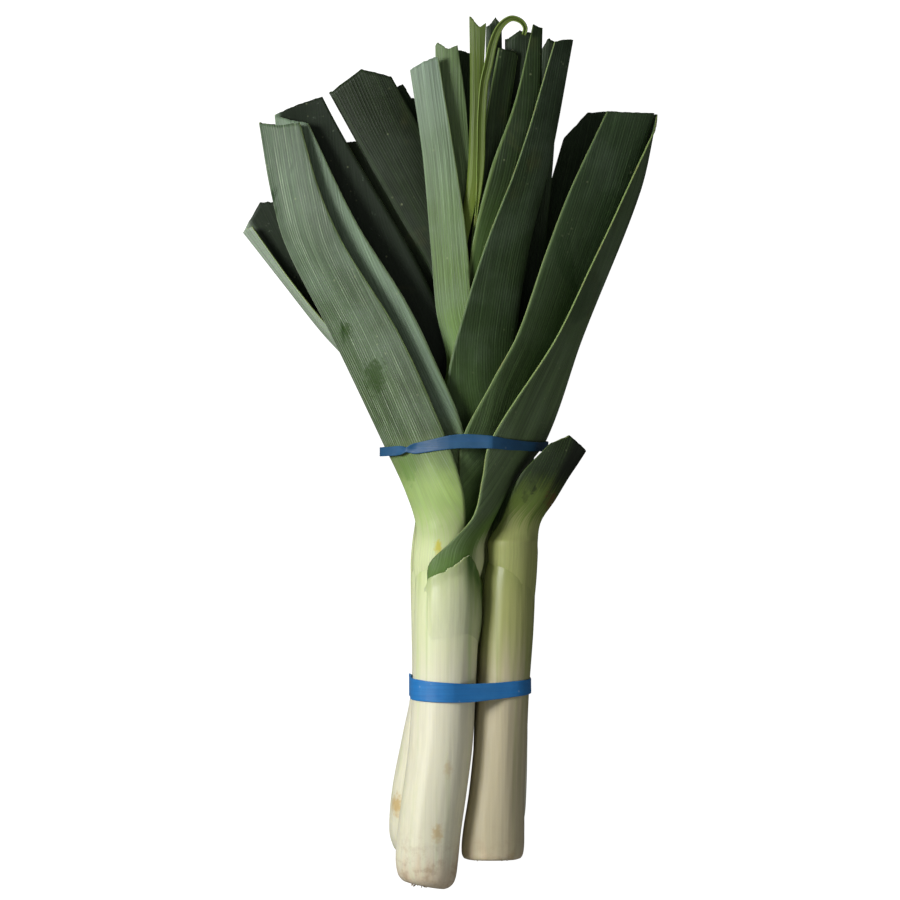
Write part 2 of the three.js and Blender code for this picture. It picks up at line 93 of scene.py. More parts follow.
# ---- small geometry ----------------------------------------------------------------------
def guide(rows: Sequence[Row], key: float) -> list[float]:
    """Smooth value of rows keyed by their first entry.

    Args:
        rows: rows in rising order of their first entry.
        key: where to read them.

    Returns:
        The interpolated row.
    """
    index = 0
    while index < len(rows) - 2 and key > rows[index + 1][0]:
        index += 1
    low, high = rows[index], rows[index + 1]
    before, after = rows[max(index - 1, 0)], rows[min(index + 2, len(rows) - 1)]
    span = high[0] - low[0]
    share = (key - low[0]) / span
    square, cube = share * share, share**3
    values = []
    for k in range(len(low)):
        enter = (high[k] - before[k]) / (high[0] - before[0]) * span
        leave = (after[k] - low[k]) / (after[0] - low[0]) * span
        values.append(
            (2 * cube - 3 * square + 1) * low[k]
            + (cube - 2 * square + share) * enter
            + (3 * square - 2 * cube) * high[k]
            + (cube - square) * leave
        )
    return values


def ramp(value: float, low: float, high: float) -> float:
    """Smooth step from 0 at low to 1 at high."""
    share = min(1.0, max(0.0, (value - low) / (high - low)))
    return share * share * (3 - 2 * share)


def arc_point(start: Vector, end: Vector, turn: float, side: float, share: float) -> Vector:
    """Point on an arc between two points of a section.

    Args:
        start: where the arc starts, as (x, z).
        end: where it ends.
        turn: the angle the arc turns through, in radians.
        side: +1 or -1, the side it bulges to.
        share: how far along the arc, from 0 to 1.

    Returns:
        The point as (x, z).
    """
    step = end - start
    chord = max(step.length, 1e-6)
    radius = chord / (2 * math.sin(turn / 2))
    angle = (share - 0.5) * turn
    along = radius * math.sin(angle) + chord / 2
    rise = side * radius * (math.cos(angle) - math.cos(turn / 2))
    unit = step / chord
    return Vector((start.x + along * unit.x - rise * unit.y, start.y + along * unit.y + rise * unit.x))


def placed(x: float, y: float, z: float) -> Vector:
    """Millimetre point moved to the row frame, in metres."""
    return (Vector((x, y, z)) + ORIGIN_SHIFT) * MM


def finish_mesh(bm: bmesh.types.BMesh, name: str) -> bpy.types.Object:
    """Make an object of a bmesh, at the origin, smooth shaded.

    Args:
        bm: the mesh, freed here.
        name: name of the piece.

    Returns:
        The linked object.
    """
    mesh = bpy.data.meshes.new(name)
    bm.to_mesh(mesh)
    bm.free()
    for polygon in mesh.polygons:
        polygon.use_smooth = True
    piece = bpy.data.objects.new(name, mesh)
    bpy.context.scene.collection.objects.link(piece)
    return piece


def write_surface(bm: bmesh.types.BMesh, flat: dict[int, tuple[float, float]]) -> None:
    """Store the across and along distances of a leaf, in centimetres, as its UV map.

    Args:
        bm: the leaf's mesh, with an empty leaf_surface layer.
        flat: distances by vertex number.
    """
    uv = bm.loops.layers.uv["leaf_surface"]
    bm.verts.index_update()
    for face in bm.faces:
        for loop in face.loops:
            loop[uv].uv = flat[loop.vert.index]


def add_wall(piece: bpy.types.Object, thick: float) -> None:
    """Give a sheet its thickness in millimetres, with the second material on its rim."""
    wall = piece.modifiers.new("wall", "SOLIDIFY")
    wall.thickness = thick * MM
    wall.offset = 0.0
    wall.material_offset_rim = 1


def hand_over(piece: bpy.types.Object, slot: Slot, *nodes: str) -> None:
    """Join a finished piece to the frame.

    Args:
        piece: the visual piece.
        slot: the record's material slot; not used.
        nodes: the solids it stands for.
    """
    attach(piece, BODY)
    if nodes:
        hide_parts(*nodes)
    LOG.info("made %s for %s", piece.name, ", ".join(nodes) or "no solid")


# ---- shader graph helper -----------------------------------------------------------------
class Graph:
    """Short way to write a node tree."""

    def __init__(self, tree: bpy.types.NodeTree) -> None:
        """Keep the tree."""
        self.tree = tree

    def node(self, kind: str, inputs: Optional[dict] = None, **settings: object) -> bpy.types.Node:
        """Add a node.

        Args:
            kind: the node's type name after ShaderNode.
            inputs: socket name or number to a value or to a socket to link from.
            settings: properties of the node.

        Returns:
            The new node.
        """
        made = self.tree.nodes.new(f"ShaderNode{kind}")
        for key, value in settings.items():
            setattr(made, key, value)
        for key, value in (inputs or {}).items():
            self.feed(made.inputs[key], value)
        return made

    def feed(self, socket: bpy.types.NodeSocket, value: object) -> None:
        """Link a socket into this one, or set its value."""
        if isinstance(value, bpy.types.NodeSocket):
            self.tree.links.new(value, socket)
        else:
            socket.default_value = value

    def math(self, operation: str, *values: object, clamp: bool = False) -> bpy.types.NodeSocket:
        """Result of a Math node on values or sockets."""
        made = self.node("Math", dict(enumerate(values)), operation=operation, use_clamp=clamp)
        return made.outputs[0]

    def mix(self, share: object, first: object, second: object, blend: str = "MIX") -> bpy.types.NodeSocket:
        """Colour mixed from first to second by share."""
        made = self.node("Mix", data_type="RGBA", blend_type=blend)
        self.feed(made.inputs[0], share)
        self.feed(made.inputs[6], first)
        self.feed(made.inputs[7], second)
        return made.outputs[2]

    def vector(self, operation: str, *values: object) -> bpy.types.NodeSocket:
        """Result of a Vector Math node on values or sockets."""
        made = self.node("VectorMath", dict(enumerate(values)), operation=operation)
        return made.outputs["Value" if operation == "LENGTH" else "Vector"]

    def shaded(self, colour: object, shade: object) -> bpy.types.NodeSocket:
        """Colour multiplied by a grey value."""
        grey = self.node("CombineColor", {0: shade, 1: shade, 2: shade}).outputs[0]
        return self.mix(1.0, colour, grey, "MULTIPLY")

    def reach(
        self, value: object, low: float, high: float, start: float = 0.0, end: float = 1.0
    ) -> bpy.types.NodeSocket:
        """Value from low to high mapped to start to end, smooth and held at the ends."""
        made = self.node(
            "MapRange", {0: value, 1: low, 2: high, 3: start, 4: end}, interpolation_type="SMOOTHSTEP"
        )
        return made.outputs[0]

    def noise(
        self, place: object, scale: float, detail: float = 3.0, rough: float = 0.55, warp: float = 0.0
    ) -> bpy.types.NodeSocket:
        """Noise value at a place."""
        made = self.node(
            "TexNoise",
            {"Vector": place, "Scale": scale, "Detail": detail, "Roughness": rough, "Distortion": warp},
        )
        return made.outputs["Fac"]

    def stretched(
        self, place: object, scale: Sequence[float], turn: Sequence[float] = (0, 0, 0)
    ) -> bpy.types.NodeSocket:
        """Place scaled by a Mapping node."""
        made = self.node("Mapping", {"Vector": place, "Scale": scale, "Rotation": turn})
        return made.outputs[0]

    def ramp(self, value: object, stops: Sequence[tuple[float, tuple]]) -> bpy.types.NodeSocket:
        """Colour ramp through the given stops."""
        made = self.node("ValToRGB", {0: value})
        band = made.color_ramp
        band.interpolation = "EASE"
        while len(band.elements) < len(stops):
            band.elements.new(0.5)
        for element, (position, colour) in zip(band.elements, stops):
            element.position = position
            element.color = colour
        return made.outputs[0]

    def group(self, name: str, inputs: dict) -> bpy.types.Node:
        """Place a shared group with its values."""
        made = self.tree.nodes.new("ShaderNodeGroup")
        made.node_tree = bpy.data.node_groups[name]
        for key, value in inputs.items():
            self.feed(made.inputs[key], value)
        return made

    def spot(self, place: object, centre: Vector, radius: float) -> bpy.types.NodeSocket:
        """Mask of a ragged spot round a centre, in metres."""
        values = {"Place": place, "Centre": tuple(centre), "Radius": radius}
        return self.group(SharedEffects.SPOT, values).outputs["Mask"]


class SharedEffects:
    """Node groups that several finishes use."""

    VEINS = "leaf_veins"
    MARKS = "skin_marks"
    SPOT = "placed_spot"

    def build(self) -> None:
        """Make every group once."""
        self._veins()
        self._marks()
        self._spot()

    @staticmethod
    def _start(
        name: str, inputs: Sequence[tuple[str, str, object]], outputs: Sequence[str]
    ) -> tuple[Graph, bpy.types.Node, bpy.types.Node]:
        """Make an empty group with sockets.

        Args:
            name: the group's name.
            inputs: name, socket type and default of each input.
            outputs: name of each output value.

        Returns:
            The graph, its input node and its output node.
        """
        tree = bpy.data.node_groups.new(name, "ShaderNodeTree")
        for label, kind, default in inputs:
            socket = tree.interface.new_socket(name=label, in_out="INPUT", socket_type=kind)
            if default is not None:
                socket.default_value = default
        for label in outputs:
            tree.interface.new_socket(name=label, in_out="OUTPUT", socket_type=FLOAT)
        return Graph(tree), tree.nodes.new("NodeGroupInput"), tree.nodes.new("NodeGroupOutput")

    def _veins(self) -> None:
        """Parallel veins along a leaf, from its own across and along distances in centimetres."""
        graph, entry, out = self._start(
            self.VEINS,
            [("Surface", VECTOR, None), ("Spacing", FLOAT, 0.14), ("Wander", FLOAT, 0.3)],
            ["Vein", "Streak", "Height"],
        )
        parts = graph.node("SeparateXYZ", {0: entry.outputs["Surface"]})
        drift = graph.noise(graph.stretched(entry.outputs["Surface"], (0.8, 0.12, 1.0)), 1.0, 2.0)
        drift = graph.math("MULTIPLY", graph.math("SUBTRACT", drift, 0.5), entry.outputs["Wander"])
        across = graph.math("ADD", parts.outputs["X"], drift)
        turns = graph.math("DIVIDE", across, entry.outputs["Spacing"])
        wave = graph.math("SINE", graph.math("MULTIPLY", turns, math.tau))
        wave = graph.math("MULTIPLY_ADD", wave, 0.5, 0.5)
        vein = graph.math("POWER", wave, 4.0)
        fine = graph.math("SINE", graph.math("MULTIPLY", turns, math.tau * 3.1))
        fine = graph.math("MULTIPLY_ADD", fine, 0.5, 0.5)
        broken = graph.noise(graph.stretched(entry.outputs["Surface"], (3.0, 0.35, 1.0)), 2.0, 3.0)
        vein = graph.math("MULTIPLY", vein, graph.reach(broken, 0.3, 0.62, 0.35, 1.0))
        streak = graph.noise(graph.stretched(entry.outputs["Surface"], (14.0, 0.16, 1.0)), 1.0, 4.0, 0.6)
        height = graph.math("MULTIPLY_ADD", fine, 0.25, graph.math("MULTIPLY_ADD", streak, 0.5, vein))
        for label, value in (("Vein", vein), ("Streak", streak), ("Height", height)):
            graph.feed(out.inputs[label], value)

    def _marks(self) -> None:
        """Marks of age and handling from Object coordinates: specks, smudges, damp patches, scratches."""
        graph, entry, out = self._start(
            self.MARKS,
            [("Place", VECTOR, None), ("Seed", FLOAT, 0.0)],
            ["Speck", "Smudge", "Damp", "Scratch", "Grain"],
        )
        offset = graph.node("CombineXYZ", {0: entry.outputs["Seed"], 1: entry.outputs["Seed"], 2: 0.0})
        place = graph.vector("ADD", entry.outputs["Place"], offset.outputs[0])
        cells = graph.node("TexVoronoi", {"Vector": place, "Scale": 190.0, "Randomness": 1.0})
        thin = graph.noise(place, 42.0, 2.0)
        dots = graph.reach(cells.outputs["Distance"], 0.17, 0.06)
        speck = graph.math("MULTIPLY", dots, graph.reach(thin, 0.52, 0.66))
        smudge = graph.reach(graph.noise(place, 26.0, 4.0, 0.6, 0.4), 0.6, 0.74)
        pools = graph.noise(graph.stretched(place, (1.0, 0.55, 1.0)), 34.0, 2.0, 0.45, 0.8)
        lines = graph.noise(graph.stretched(place, (420.0, 16.0, 420.0), (0, 0, 0.12)), 1.0, 2.0)
        grain = graph.noise(place, 900.0, 3.0)
        values = {
            "Speck": speck,
            "Smudge": smudge,
            "Damp": graph.reach(pools, 0.63, 0.69),
            "Scratch": graph.reach(lines, 0.68, 0.76),
            "Grain": grain,
        }
        for label, value in values.items():
            graph.feed(out.inputs[label], value)

    def _spot(self) -> None:
        """One uneven spot at a stated centre."""
        graph, entry, out = self._start(
            self.SPOT,
            [("Place", VECTOR, None), ("Centre", VECTOR, None), ("Radius", FLOAT, 0.005)],
            ["Mask"],
        )
        away = graph.vector("SUBTRACT", entry.outputs["Place"], entry.outputs["Centre"])
        length = graph.vector("LENGTH", graph.stretched(away, (1.0, 0.6, 0.35)))
        ragged = graph.noise(entry.outputs["Place"], 420.0, 4.0)
        share = graph.math("DIVIDE", length, entry.outputs["Radius"])
        share = graph.math("ADD", share, graph.math("MULTIPLY", graph.math("SUBTRACT", ragged, 0.5), 1.6))
        graph.feed(out.inputs["Mask"], graph.reach(share, 1.25, 0.3))


# ---- finishes ----------------------------------------------------------------------------
def start_material(name: str) -> tuple[bpy.types.Material, Graph, bpy.types.Node, bpy.types.NodeSocket]:
    """Make a material with nodes.

    Args:
        name: the material's name.

    Returns:
        The material, its graph, its Principled shader and its Object coordinates.
    """
    made = bpy.data.materials.new(name)
    made.use_nodes = True
    graph = Graph(made.node_tree)
    shader = made.node_tree.nodes["Principled BSDF"]
    return made, graph, shader, graph.node("TexCoord").outputs["Object"]


@dataclass(frozen=True)
class LeafFinish:
    """How a leaf is coloured and how it shines.

    The colour runs from the sheath low on the leaf to the blade higher up.
    """

    sheath: tuple = srgb(206, 214, 160)
    neck: tuple = srgb(134, 160, 92)
    blade: tuple = srgb(66, 92, 62)
    tip: tuple = srgb(58, 82, 58)
    vein: tuple = srgb(150, 172, 140)
    edge: tuple = srgb(150, 176, 110)
    rim: tuple = srgb(150, 170, 104)
    # Painted shade: a dark colour laid over the far half of a folded leaf, inside the fold, with its share
    # and the across distance where it starts.
    shade_inside: tuple = srgb(36, 48, 32)
    shade_inside_share: float = 0.0
    shade_inside_from: float = 0.1
    near_lift: float = 0.0
    margin: float = 0.015
    spots: tuple = ()
    vein_share: float = 0.30
    bloom: float = 0.25
    turn_low: float = -0.055
    turn_high: float = 0.075
    spacing: float = 0.15
    roughness: float = 0.46
    damp: float = 0.0
    seed: float = 0.0

    def material(self, name: str) -> bpy.types.Material:
        """Blade material.

        Args:
            name: the material's name.

        Returns:
            The material.
        """
        made, graph, shader, place = start_material(name)
        surface = graph.node("UVMap", uv_map="leaf_surface").outputs[0]
        edge = graph.node("Attribute", attribute_name="edge").outputs["Fac"]
        high = graph.node("SeparateXYZ", {0: place}).outputs["Y"]
        veins = graph.group(
            SharedEffects.VEINS, {"Surface": surface, "Spacing": self.spacing, "Wander": 0.25}
        )
        streak = graph.math("SUBTRACT", veins.outputs["Streak"], 0.5)
        marks = graph.group(SharedEffects.MARKS, {"Place": place, "Seed": self.seed})
        patchy = graph.noise(place, 24.0, 3.0)
        level = graph.math("ADD", high, graph.math("MULTIPLY", graph.math("SUBTRACT", patchy, 0.5), 0.03))
        level = graph.math("ADD", level, graph.math("MULTIPLY", streak, 0.035))
        aside = graph.node("SeparateXYZ", {0: surface}).outputs["X"]
        level = graph.math("ADD", level, graph.reach(aside, -0.5, -2.6, 0.0, self.near_lift))
        share = graph.node("MapRange", {0: level, 1: self.turn_low, 2: self.turn_high + 0.16}).outputs[0]
        turn = (self.turn_high - self.turn_low) / (self.turn_high + 0.16 - self.turn_low)
        colour = graph.ramp(
            share, [(0.0, self.sheath), (turn * 0.45, self.neck), (turn, self.blade), (1.0, self.tip)]
        )
        opened = graph.reach(share, turn * 0.2, turn, 0.0, 1.0)
        uneven = graph.noise(graph.stretched(surface, (2.6, 0.12, 1.0)), 1.0, 4.0, 0.6)
        strength = graph.math("MULTIPLY", graph.math("MULTIPLY_ADD", opened, 0.8, 0.2), self.vein_share)
        strength = graph.math("MULTIPLY", graph.reach(uneven, 0.36, 0.66, 0.12, 1.35), strength)
        colour = graph.mix(graph.math("MULTIPLY", veins.outputs["Vein"], strength), colour, self.vein)
        broad = graph.noise(graph.stretched(surface, (0.9, 0.06, 1.0)), 1.0, 3.0)
        shade = graph.math(
            "MULTIPLY",
            graph.reach(veins.outputs["Streak"], 0.3, 0.7, 0.66, 1.3),
            graph.reach(broad, 0.3, 0.7, 0.8, 1.2),
        )
        shade = graph.math("SUBTRACT", shade, 1.0)
        shade = graph.math("MULTIPLY_ADD", shade, graph.reach(opened, 0.0, 1.0, 0.3, 1.0), 1.0)
        colour = graph.shaded(colour, shade)
        wax = graph.math("MULTIPLY", graph.reach(graph.noise(place, 38.0, 4.0), 0.38, 0.72), self.bloom)
        colour = graph.mix(wax, colour, srgb(140, 158, 138))
        keel = graph.reach(edge, 0.05, 0.0, 0.0, 0.4)
        colour = graph.mix(keel, colour, self.vein)
        # Margin band: the leaf's paler edge, partly a painted highlight where the margin catches the light.
        margin = graph.reach(edge, 0.99 - 2 * self.margin, 0.998 - self.margin, 0.0, 0.6)
        colour = graph.mix(margin, colour, self.edge)
        # Painted shade: the far half inside the fold is darkened towards the inside shade colour, and its
        # bump is softened there.
        far_half_shade = graph.reach(aside, self.shade_inside_from, self.shade_inside_from + 0.4)
        far_half_shade = graph.math("MULTIPLY", far_half_shade, opened)
        colour = graph.mix(graph.math("MULTIPLY", far_half_shade, self.shade_inside_share), colour, self.shade_inside)
        scuff = graph.reach(graph.noise(place, 260.0, 4.0, 0.7), 0.62, 0.74)
        scuff = graph.math("MULTIPLY", scuff, graph.reach(uneven, 0.5, 0.7))
        colour = graph.mix(graph.math("MULTIPLY", scuff, 0.5), colour, self.vein)
        colour = graph.mix(graph.math("MULTIPLY", marks.outputs["Speck"], 0.3), colour, srgb(176, 186, 140))
        colour = graph.mix(graph.math("MULTIPLY", marks.outputs["Smudge"], 0.22), colour, srgb(96, 92, 50))
        damp = graph.math("MULTIPLY", marks.outputs["Damp"], self.damp)
        colour = graph.mix(damp, colour, srgb(34, 58, 26))
        # Placed spots: real stains and blemishes, and on the stump two dark spots that are painted shade
        # along its crease.
        for (x, y, z), radius, tint, patch in self.spots:
            spot = graph.spot(place, placed(x, y, z), radius)
            spot_and_crease_shade = graph.reach(spot, 0.05, 0.95)
            streaky = graph.math("MULTIPLY", spot_and_crease_shade, graph.reach(uneven, 0.4, 0.52, 0.3, 1.0))
            colour = graph.mix(graph.math("MULTIPLY", streaky, patch), colour, tint)
        graph.feed(shader.inputs["Base Color"], colour)
        rough = graph.math("ADD", self.roughness, graph.math("MULTIPLY", streak, 0.25))
        rough = graph.math("ADD", rough, graph.math("MULTIPLY", wax, 0.25))
        rough = graph.math("SUBTRACT", rough, graph.math("MULTIPLY", damp, 0.22), clamp=True)
        graph.feed(shader.inputs["Roughness"], rough)
        height = graph.math("MULTIPLY_ADD", marks.outputs["Grain"], 0.25, veins.outputs["Height"])
        height = graph.math("MULTIPLY_ADD", marks.outputs["Scratch"], -0.3, height)
        height = graph.math("MULTIPLY", height, graph.math("MULTIPLY_ADD", opened, 0.88, 0.12))
        smooth = graph.math("MULTIPLY_ADD", far_half_shade, -0.85 * self.shade_inside_share, 1.0)
        height = graph.math("MULTIPLY", height, smooth)
        bump = graph.node("Bump", {"Strength": 0.3, "Distance": 0.0004, "Height": height})
        graph.feed(shader.inputs["Normal"], bump.outputs[0])
        shader.inputs["Specular IOR Level"].default_value = 0.22
        shader.inputs["Subsurface Weight"].default_value = 0.06
        shader.inputs["Subsurface Radius"].default_value = (0.4, 1.0, 0.2)
        shader.inputs["Subsurface Scale"].default_value = 0.0015
        return made

    def rim_material(self, name: str) -> bpy.types.Material:
        """Cut rim material: pale, a little dry and fibrous.

        Args:
            name: the material's name.

        Returns:
            The material.
        """
        made, graph, shader, place = start_material(name)
        fibre = graph.noise(place, 1600.0, 3.0)
        dry = graph.noise(place, 90.0, 3.0)
        colour = graph.mix(graph.reach(fibre, 0.35, 0.65, 0.0, 0.6), self.rim, self.neck)
        colour = graph.mix(graph.reach(dry, 0.5, 0.75, 0.0, 0.5), colour, srgb(150, 132, 80))
        graph.feed(shader.inputs["Base Color"], colour)
        graph.feed(shader.inputs["Roughness"], graph.reach(dry, 0.2, 0.8, 0.45, 0.75))
        bump = graph.node("Bump", {"Strength": 0.4, "Distance": 0.0003, "Height": fibre})
        graph.feed(shader.inputs["Normal"], bump.outputs[0])
        return made


@dataclass(frozen=True)
class ShankFinish:
    """White shank that turns green towards the neck."""

    root: tuple = srgb(222, 206, 178)
    white: tuple = srgb(233, 230, 203)
    pale: tuple = srgb(224, 230, 184)
    green: tuple = srgb(190, 210, 134)
    spots: tuple = ()
    strip: Optional[tuple] = None
    seed: float = 0.0

    def material(self, name: str) -> bpy.types.Material:
        """Shank material.

        Args:
            name: the material's name.

        Returns:
            The material.
        """
        made, graph, shader, place = start_material(name)
        high = graph.node("SeparateXYZ", {0: place}).outputs["Y"]
        marks = graph.group(SharedEffects.MARKS, {"Place": place, "Seed": self.seed})
        fibres = graph.noise(graph.stretched(place, (700.0, 9.0, 700.0)), 1.0, 4.0, 0.6)
        broad = graph.noise(graph.stretched(place, (150.0, 4.0, 150.0)), 1.0, 3.0)
        level = graph.math("ADD", high, graph.math("MULTIPLY", graph.math("SUBTRACT", broad, 0.5), 0.07))
        share = graph.node("MapRange", {0: level, 1: -0.243, 2: -0.043}).outputs[0]
        colour = graph.ramp(
            share,
            [(0.0, self.root), (0.12, self.white), (0.5, self.white), (0.74, self.pale),
            (1.0, self.green)],
        )
        tone = graph.reach(fibres, 0.3, 0.7, 0.95, 1.03)
        colour = graph.shaded(colour, tone)
        green_line = graph.reach(share, 0.16, 0.9, 0.16, 0.5)
        green_line = graph.math("MULTIPLY", graph.reach(broad, 0.52, 0.68), green_line)
        colour = graph.mix(green_line, colour, self.green)
        dirt = graph.reach(graph.noise(place, 110.0, 4.0, 0.65), 0.45, 0.7)
        dirt = graph.math("MULTIPLY", graph.reach(high, -0.2, -0.24), dirt)
        colour = graph.mix(graph.math("MULTIPLY", dirt, 0.55), colour, srgb(168, 136, 96))
        smudge = graph.math("MULTIPLY", marks.outputs["Smudge"], 0.16)
        colour = graph.mix(smudge, colour, srgb(190, 168, 118))
        for (x, y, z), radius, tint, strength in self.spots:
            spot = graph.spot(place, placed(x, y, z), radius)
            colour = graph.mix(graph.math("MULTIPLY", spot, strength), colour, tint)
        if self.strip:
            mask = graph.node("Attribute", attribute_name="strip").outputs["Fac"]
            mask = graph.math("MULTIPLY", mask, graph.reach(fibres, 0.2, 0.6, 0.75, 1.0))
            colour = graph.mix(mask, colour, self.strip)
        graph.feed(shader.inputs["Base Color"], colour)
        rough = graph.math("ADD", 0.3, graph.math("MULTIPLY", fibres, 0.2))
        graph.feed(shader.inputs["Roughness"], graph.math("MULTIPLY_ADD", dirt, 0.3, rough))
        height = graph.math("MULTIPLY_ADD", marks.outputs["Grain"], 0.2, fibres)
        height = graph.math("MULTIPLY_ADD", broad, 0.6, height)
        height = graph.math("MULTIPLY_ADD", marks.outputs["Scratch"], -0.4, height)
        bump = graph.node("Bump", {"Strength": 0.25, "Distance": 0.0005, "Height": height})
        graph.feed(shader.inputs["Normal"], bump.outputs[0])
        shader.inputs["Subsurface Weight"].default_value = 0.18
        shader.inputs["Subsurface Radius"].default_value = (1.0, 0.9, 0.5)
        shader.inputs["Subsurface Scale"].default_value = 0.003
        return made


@dataclass(frozen=True)
class RubberFinish:
    """Blue produce band, a little dusty and scuffed."""

    colour: tuple = srgb(28, 120, 190)
    worn: tuple = srgb(70, 146, 204)

    def material(self, name: str) -> bpy.types.Material:
        """Rubber material.

        Args:
            name: the material's name.

        Returns:
            The material.
        """
        made, graph, shader, place = start_material(name)
        marks = graph.group(SharedEffects.MARKS, {"Place": place, "Seed": 3.1})
        lines = graph.noise(graph.stretched(place, (30.0, 900.0, 30.0)), 1.0, 3.0)
        cloud = graph.noise(place, 120.0, 4.0)
        colour = graph.mix(graph.reach(cloud, 0.4, 0.75, 0.0, 0.3), self.colour, self.worn)
        colour = graph.mix(graph.math("MULTIPLY", marks.outputs["Speck"], 0.4), colour, srgb(190, 205, 215))
        colour = graph.mix(graph.reach(lines, 0.35, 0.7, 0.0, 0.25), colour, srgb(24, 82, 146))
        graph.feed(shader.inputs["Base Color"], colour)
        graph.feed(shader.inputs["Roughness"], graph.reach(cloud, 0.2, 0.8, 0.42, 0.66))
        height = graph.math("MULTIPLY_ADD", marks.outputs["Grain"], 0.6, lines)
        bump = graph.node("Bump", {"Strength": 0.3, "Distance": 0.0003, "Height": height})
        graph.feed(shader.inputs["Normal"], bump.outputs[0])
        return made


# ---- necks and shanks --------------------------------------------------------------------
NECK_FRONT = (-2.5, 55.0)
NECK_REAR_LEFT = (-6.0, 18.3)
NECK_REAR_RIGHT = (27.2, 15.6)
NECK_CUT = (35.0, 46.8)


@dataclass
class Shank:
    """White shank: rows of (y, x, z, half width, half height) from the root end to the neck."""

    name: str
    rows: Sequence[Row]
    finish: ShankFinish
    seed: int
    lean: float = 0.0
    around: int = 112
    along: int = 220

    def radii(self, y: float) -> list[float]:
        """Centre and half sizes at a height, as (x, z, half width, half height)."""
        return guide(self.rows, y)[1:]

    def surface(self, angle: float, y: float, proud: float = 0.0) -> Vector:
        """Point of the shank's skin.

        Args:
            angle: direction round the shank, in radians from +X towards +Z.
            y: height along the bunch.
            proud: extra distance out from the skin.

        Returns:
            The point in millimetres.
        """
        x, z, wide, tall = self.radii(y)
        flute = 0.03 * math.sin(9 * angle + self.seed + 0.006 * y) + 0.03 * math.sin(23 * angle + 0.02 * y)
        spot = Vector((2.2 * math.cos(angle), y * 0.018, 2.2 * math.sin(angle) + self.seed))
        wander = 0.32 * noise.noise(spot)
        share = min(1.0, (wide + tall) / 24.0) ** 2
        out = (flute + wander) * share + proud
        slant = self.lean * math.cos(angle) * ramp(y, self.rows[0][0] + 30, self.rows[0][0])
        return Vector((x + (wide + out) * math.cos(angle), y + slant, z + (tall + out) * math.sin(angle)))

    def sheath_step(self, angle: float, y: float) -> float:
        """Height of the overlapping edge of the outer sheath at a point of the skin."""
        line = math.radians(118) + 0.0016 * (y + 140) + 0.5 * self.seed
        away = (angle - line + math.pi) % math.tau - math.pi
        return 0.38 * ramp(away, -0.02, 0.02) * ramp(away, 1.5, 0.4)

    def mesh(self) -> bpy.types.Object:
        """Build the skin, closed at both ends."""
        bm = bmesh.new()
        bmesh.ops.create_grid(bm, x_segments=self.around, y_segments=self.along, size=1.0)
        low, high = self.rows[0][0], self.rows[-1][0]
        for vert in bm.verts:
            angle = (vert.co.x + 1) * math.pi
            share = (vert.co.y + 1) / 2
            ease = 0.5 - 0.5 * math.cos(math.pi * share)
            y = low + (high - low) * (0.45 * ease + 0.55 * share)
            if share < 1e-4 or share > 1 - 1e-4:
                x, z, *_ = self.radii(y)
                vert.co = placed(x, y + (0.6 if share < 0.5 else 0.0), z)
            else:
                vert.co = placed(*self.surface(angle, y, self.sheath_step(angle, y)))
        bmesh.ops.remove_doubles(bm, verts=bm.verts[:], dist=1e-6)
        self._add_roots(bm)
        bmesh.ops.recalc_face_normals(bm, faces=bm.faces[:])
        return finish_mesh(bm, self.name)

    def _add_roots(self, bm: bmesh.types.BMesh) -> None:
        """Short trimmed root stubs on the root plate."""
        draw = random.Random(self.seed)
        x, z, wide, tall = self.radii(self.rows[0][0])
        for _ in range(34):
            angle, reach = draw.uniform(0, math.tau), math.sqrt(draw.uniform(0.05, 1.0))
            length, thick = draw.uniform(0.6, 1.6), draw.uniform(0.3, 0.55)
            made = bmesh.ops.create_cone(
                bm, cap_ends=True, segments=6, radius1=thick * MM, radius2=thick * 0.7 * MM,
                depth=length * MM
            )["verts"]
            side, up = reach * math.cos(angle), reach * math.sin(angle)
            base = Vector((x + wide * side, self.rows[0][0] + 0.9, z + tall * up))
            lean = Vector((0.5 * side, -1.0, 0.5 * up)).normalized()
            turn = Vector((0, 0, 1)).rotation_difference(lean).to_matrix()
            middle = placed(*(base + lean * (length * 0.5 - 0.3)))
            for vert in made:
                vert.co = turn @ vert.co + middle

    def build(self) -> bpy.types.Object:
        """Make, dress and hand over the shank."""
        piece = self.mesh()
        piece.data.materials.append(self.finish.material(f"{self.name}_skin"))
        piece.data.materials.append(RootFinish().material(f"{self.name}_roots"))
        edge = self.rows[0][0] + 3.4
        for polygon in piece.data.polygons:
            centre = polygon.center / MM - ORIGIN_SHIFT
            x, z, wide, tall = self.radii(self.rows[0][0])
            if centre.y < edge and math.hypot((centre.x - x) / wide, (centre.z - z) / tall) < 1.06:
                polygon.material_index = 1
        hand_over(piece, Slot.SHANK, self.name)
        return piece


@dataclass(frozen=True)
class RootFinish:
    """Dry brown root plate."""

    pale: tuple = srgb(196, 170, 128)
    dark: tuple = srgb(120, 88, 54)

    def material(self, name: str) -> bpy.types.Material:
        """Root material.

        Args:
            name: the material's name.

        Returns:
            The material.
        """
        made, graph, shader, place = start_material(name)
        fibre = graph.noise(place, 700.0, 4.0, 0.65)
        patch = graph.noise(place, 160.0, 3.0)
        colour = graph.mix(graph.reach(patch, 0.35, 0.65), self.pale, self.dark)
        colour = graph.mix(graph.reach(fibre, 0.5, 0.75, 0.0, 0.7), colour, srgb(78, 58, 38))
        graph.feed(shader.inputs["Base Color"], colour)
        graph.feed(shader.inputs["Roughness"], graph.reach(fibre, 0.2, 0.8, 0.7, 0.95))
        bump = graph.node("Bump", {"Strength": 0.7, "Distance": 0.0006, "Height": fibre})
        graph.feed(shader.inputs["Normal"], bump.outputs[0])
        return made


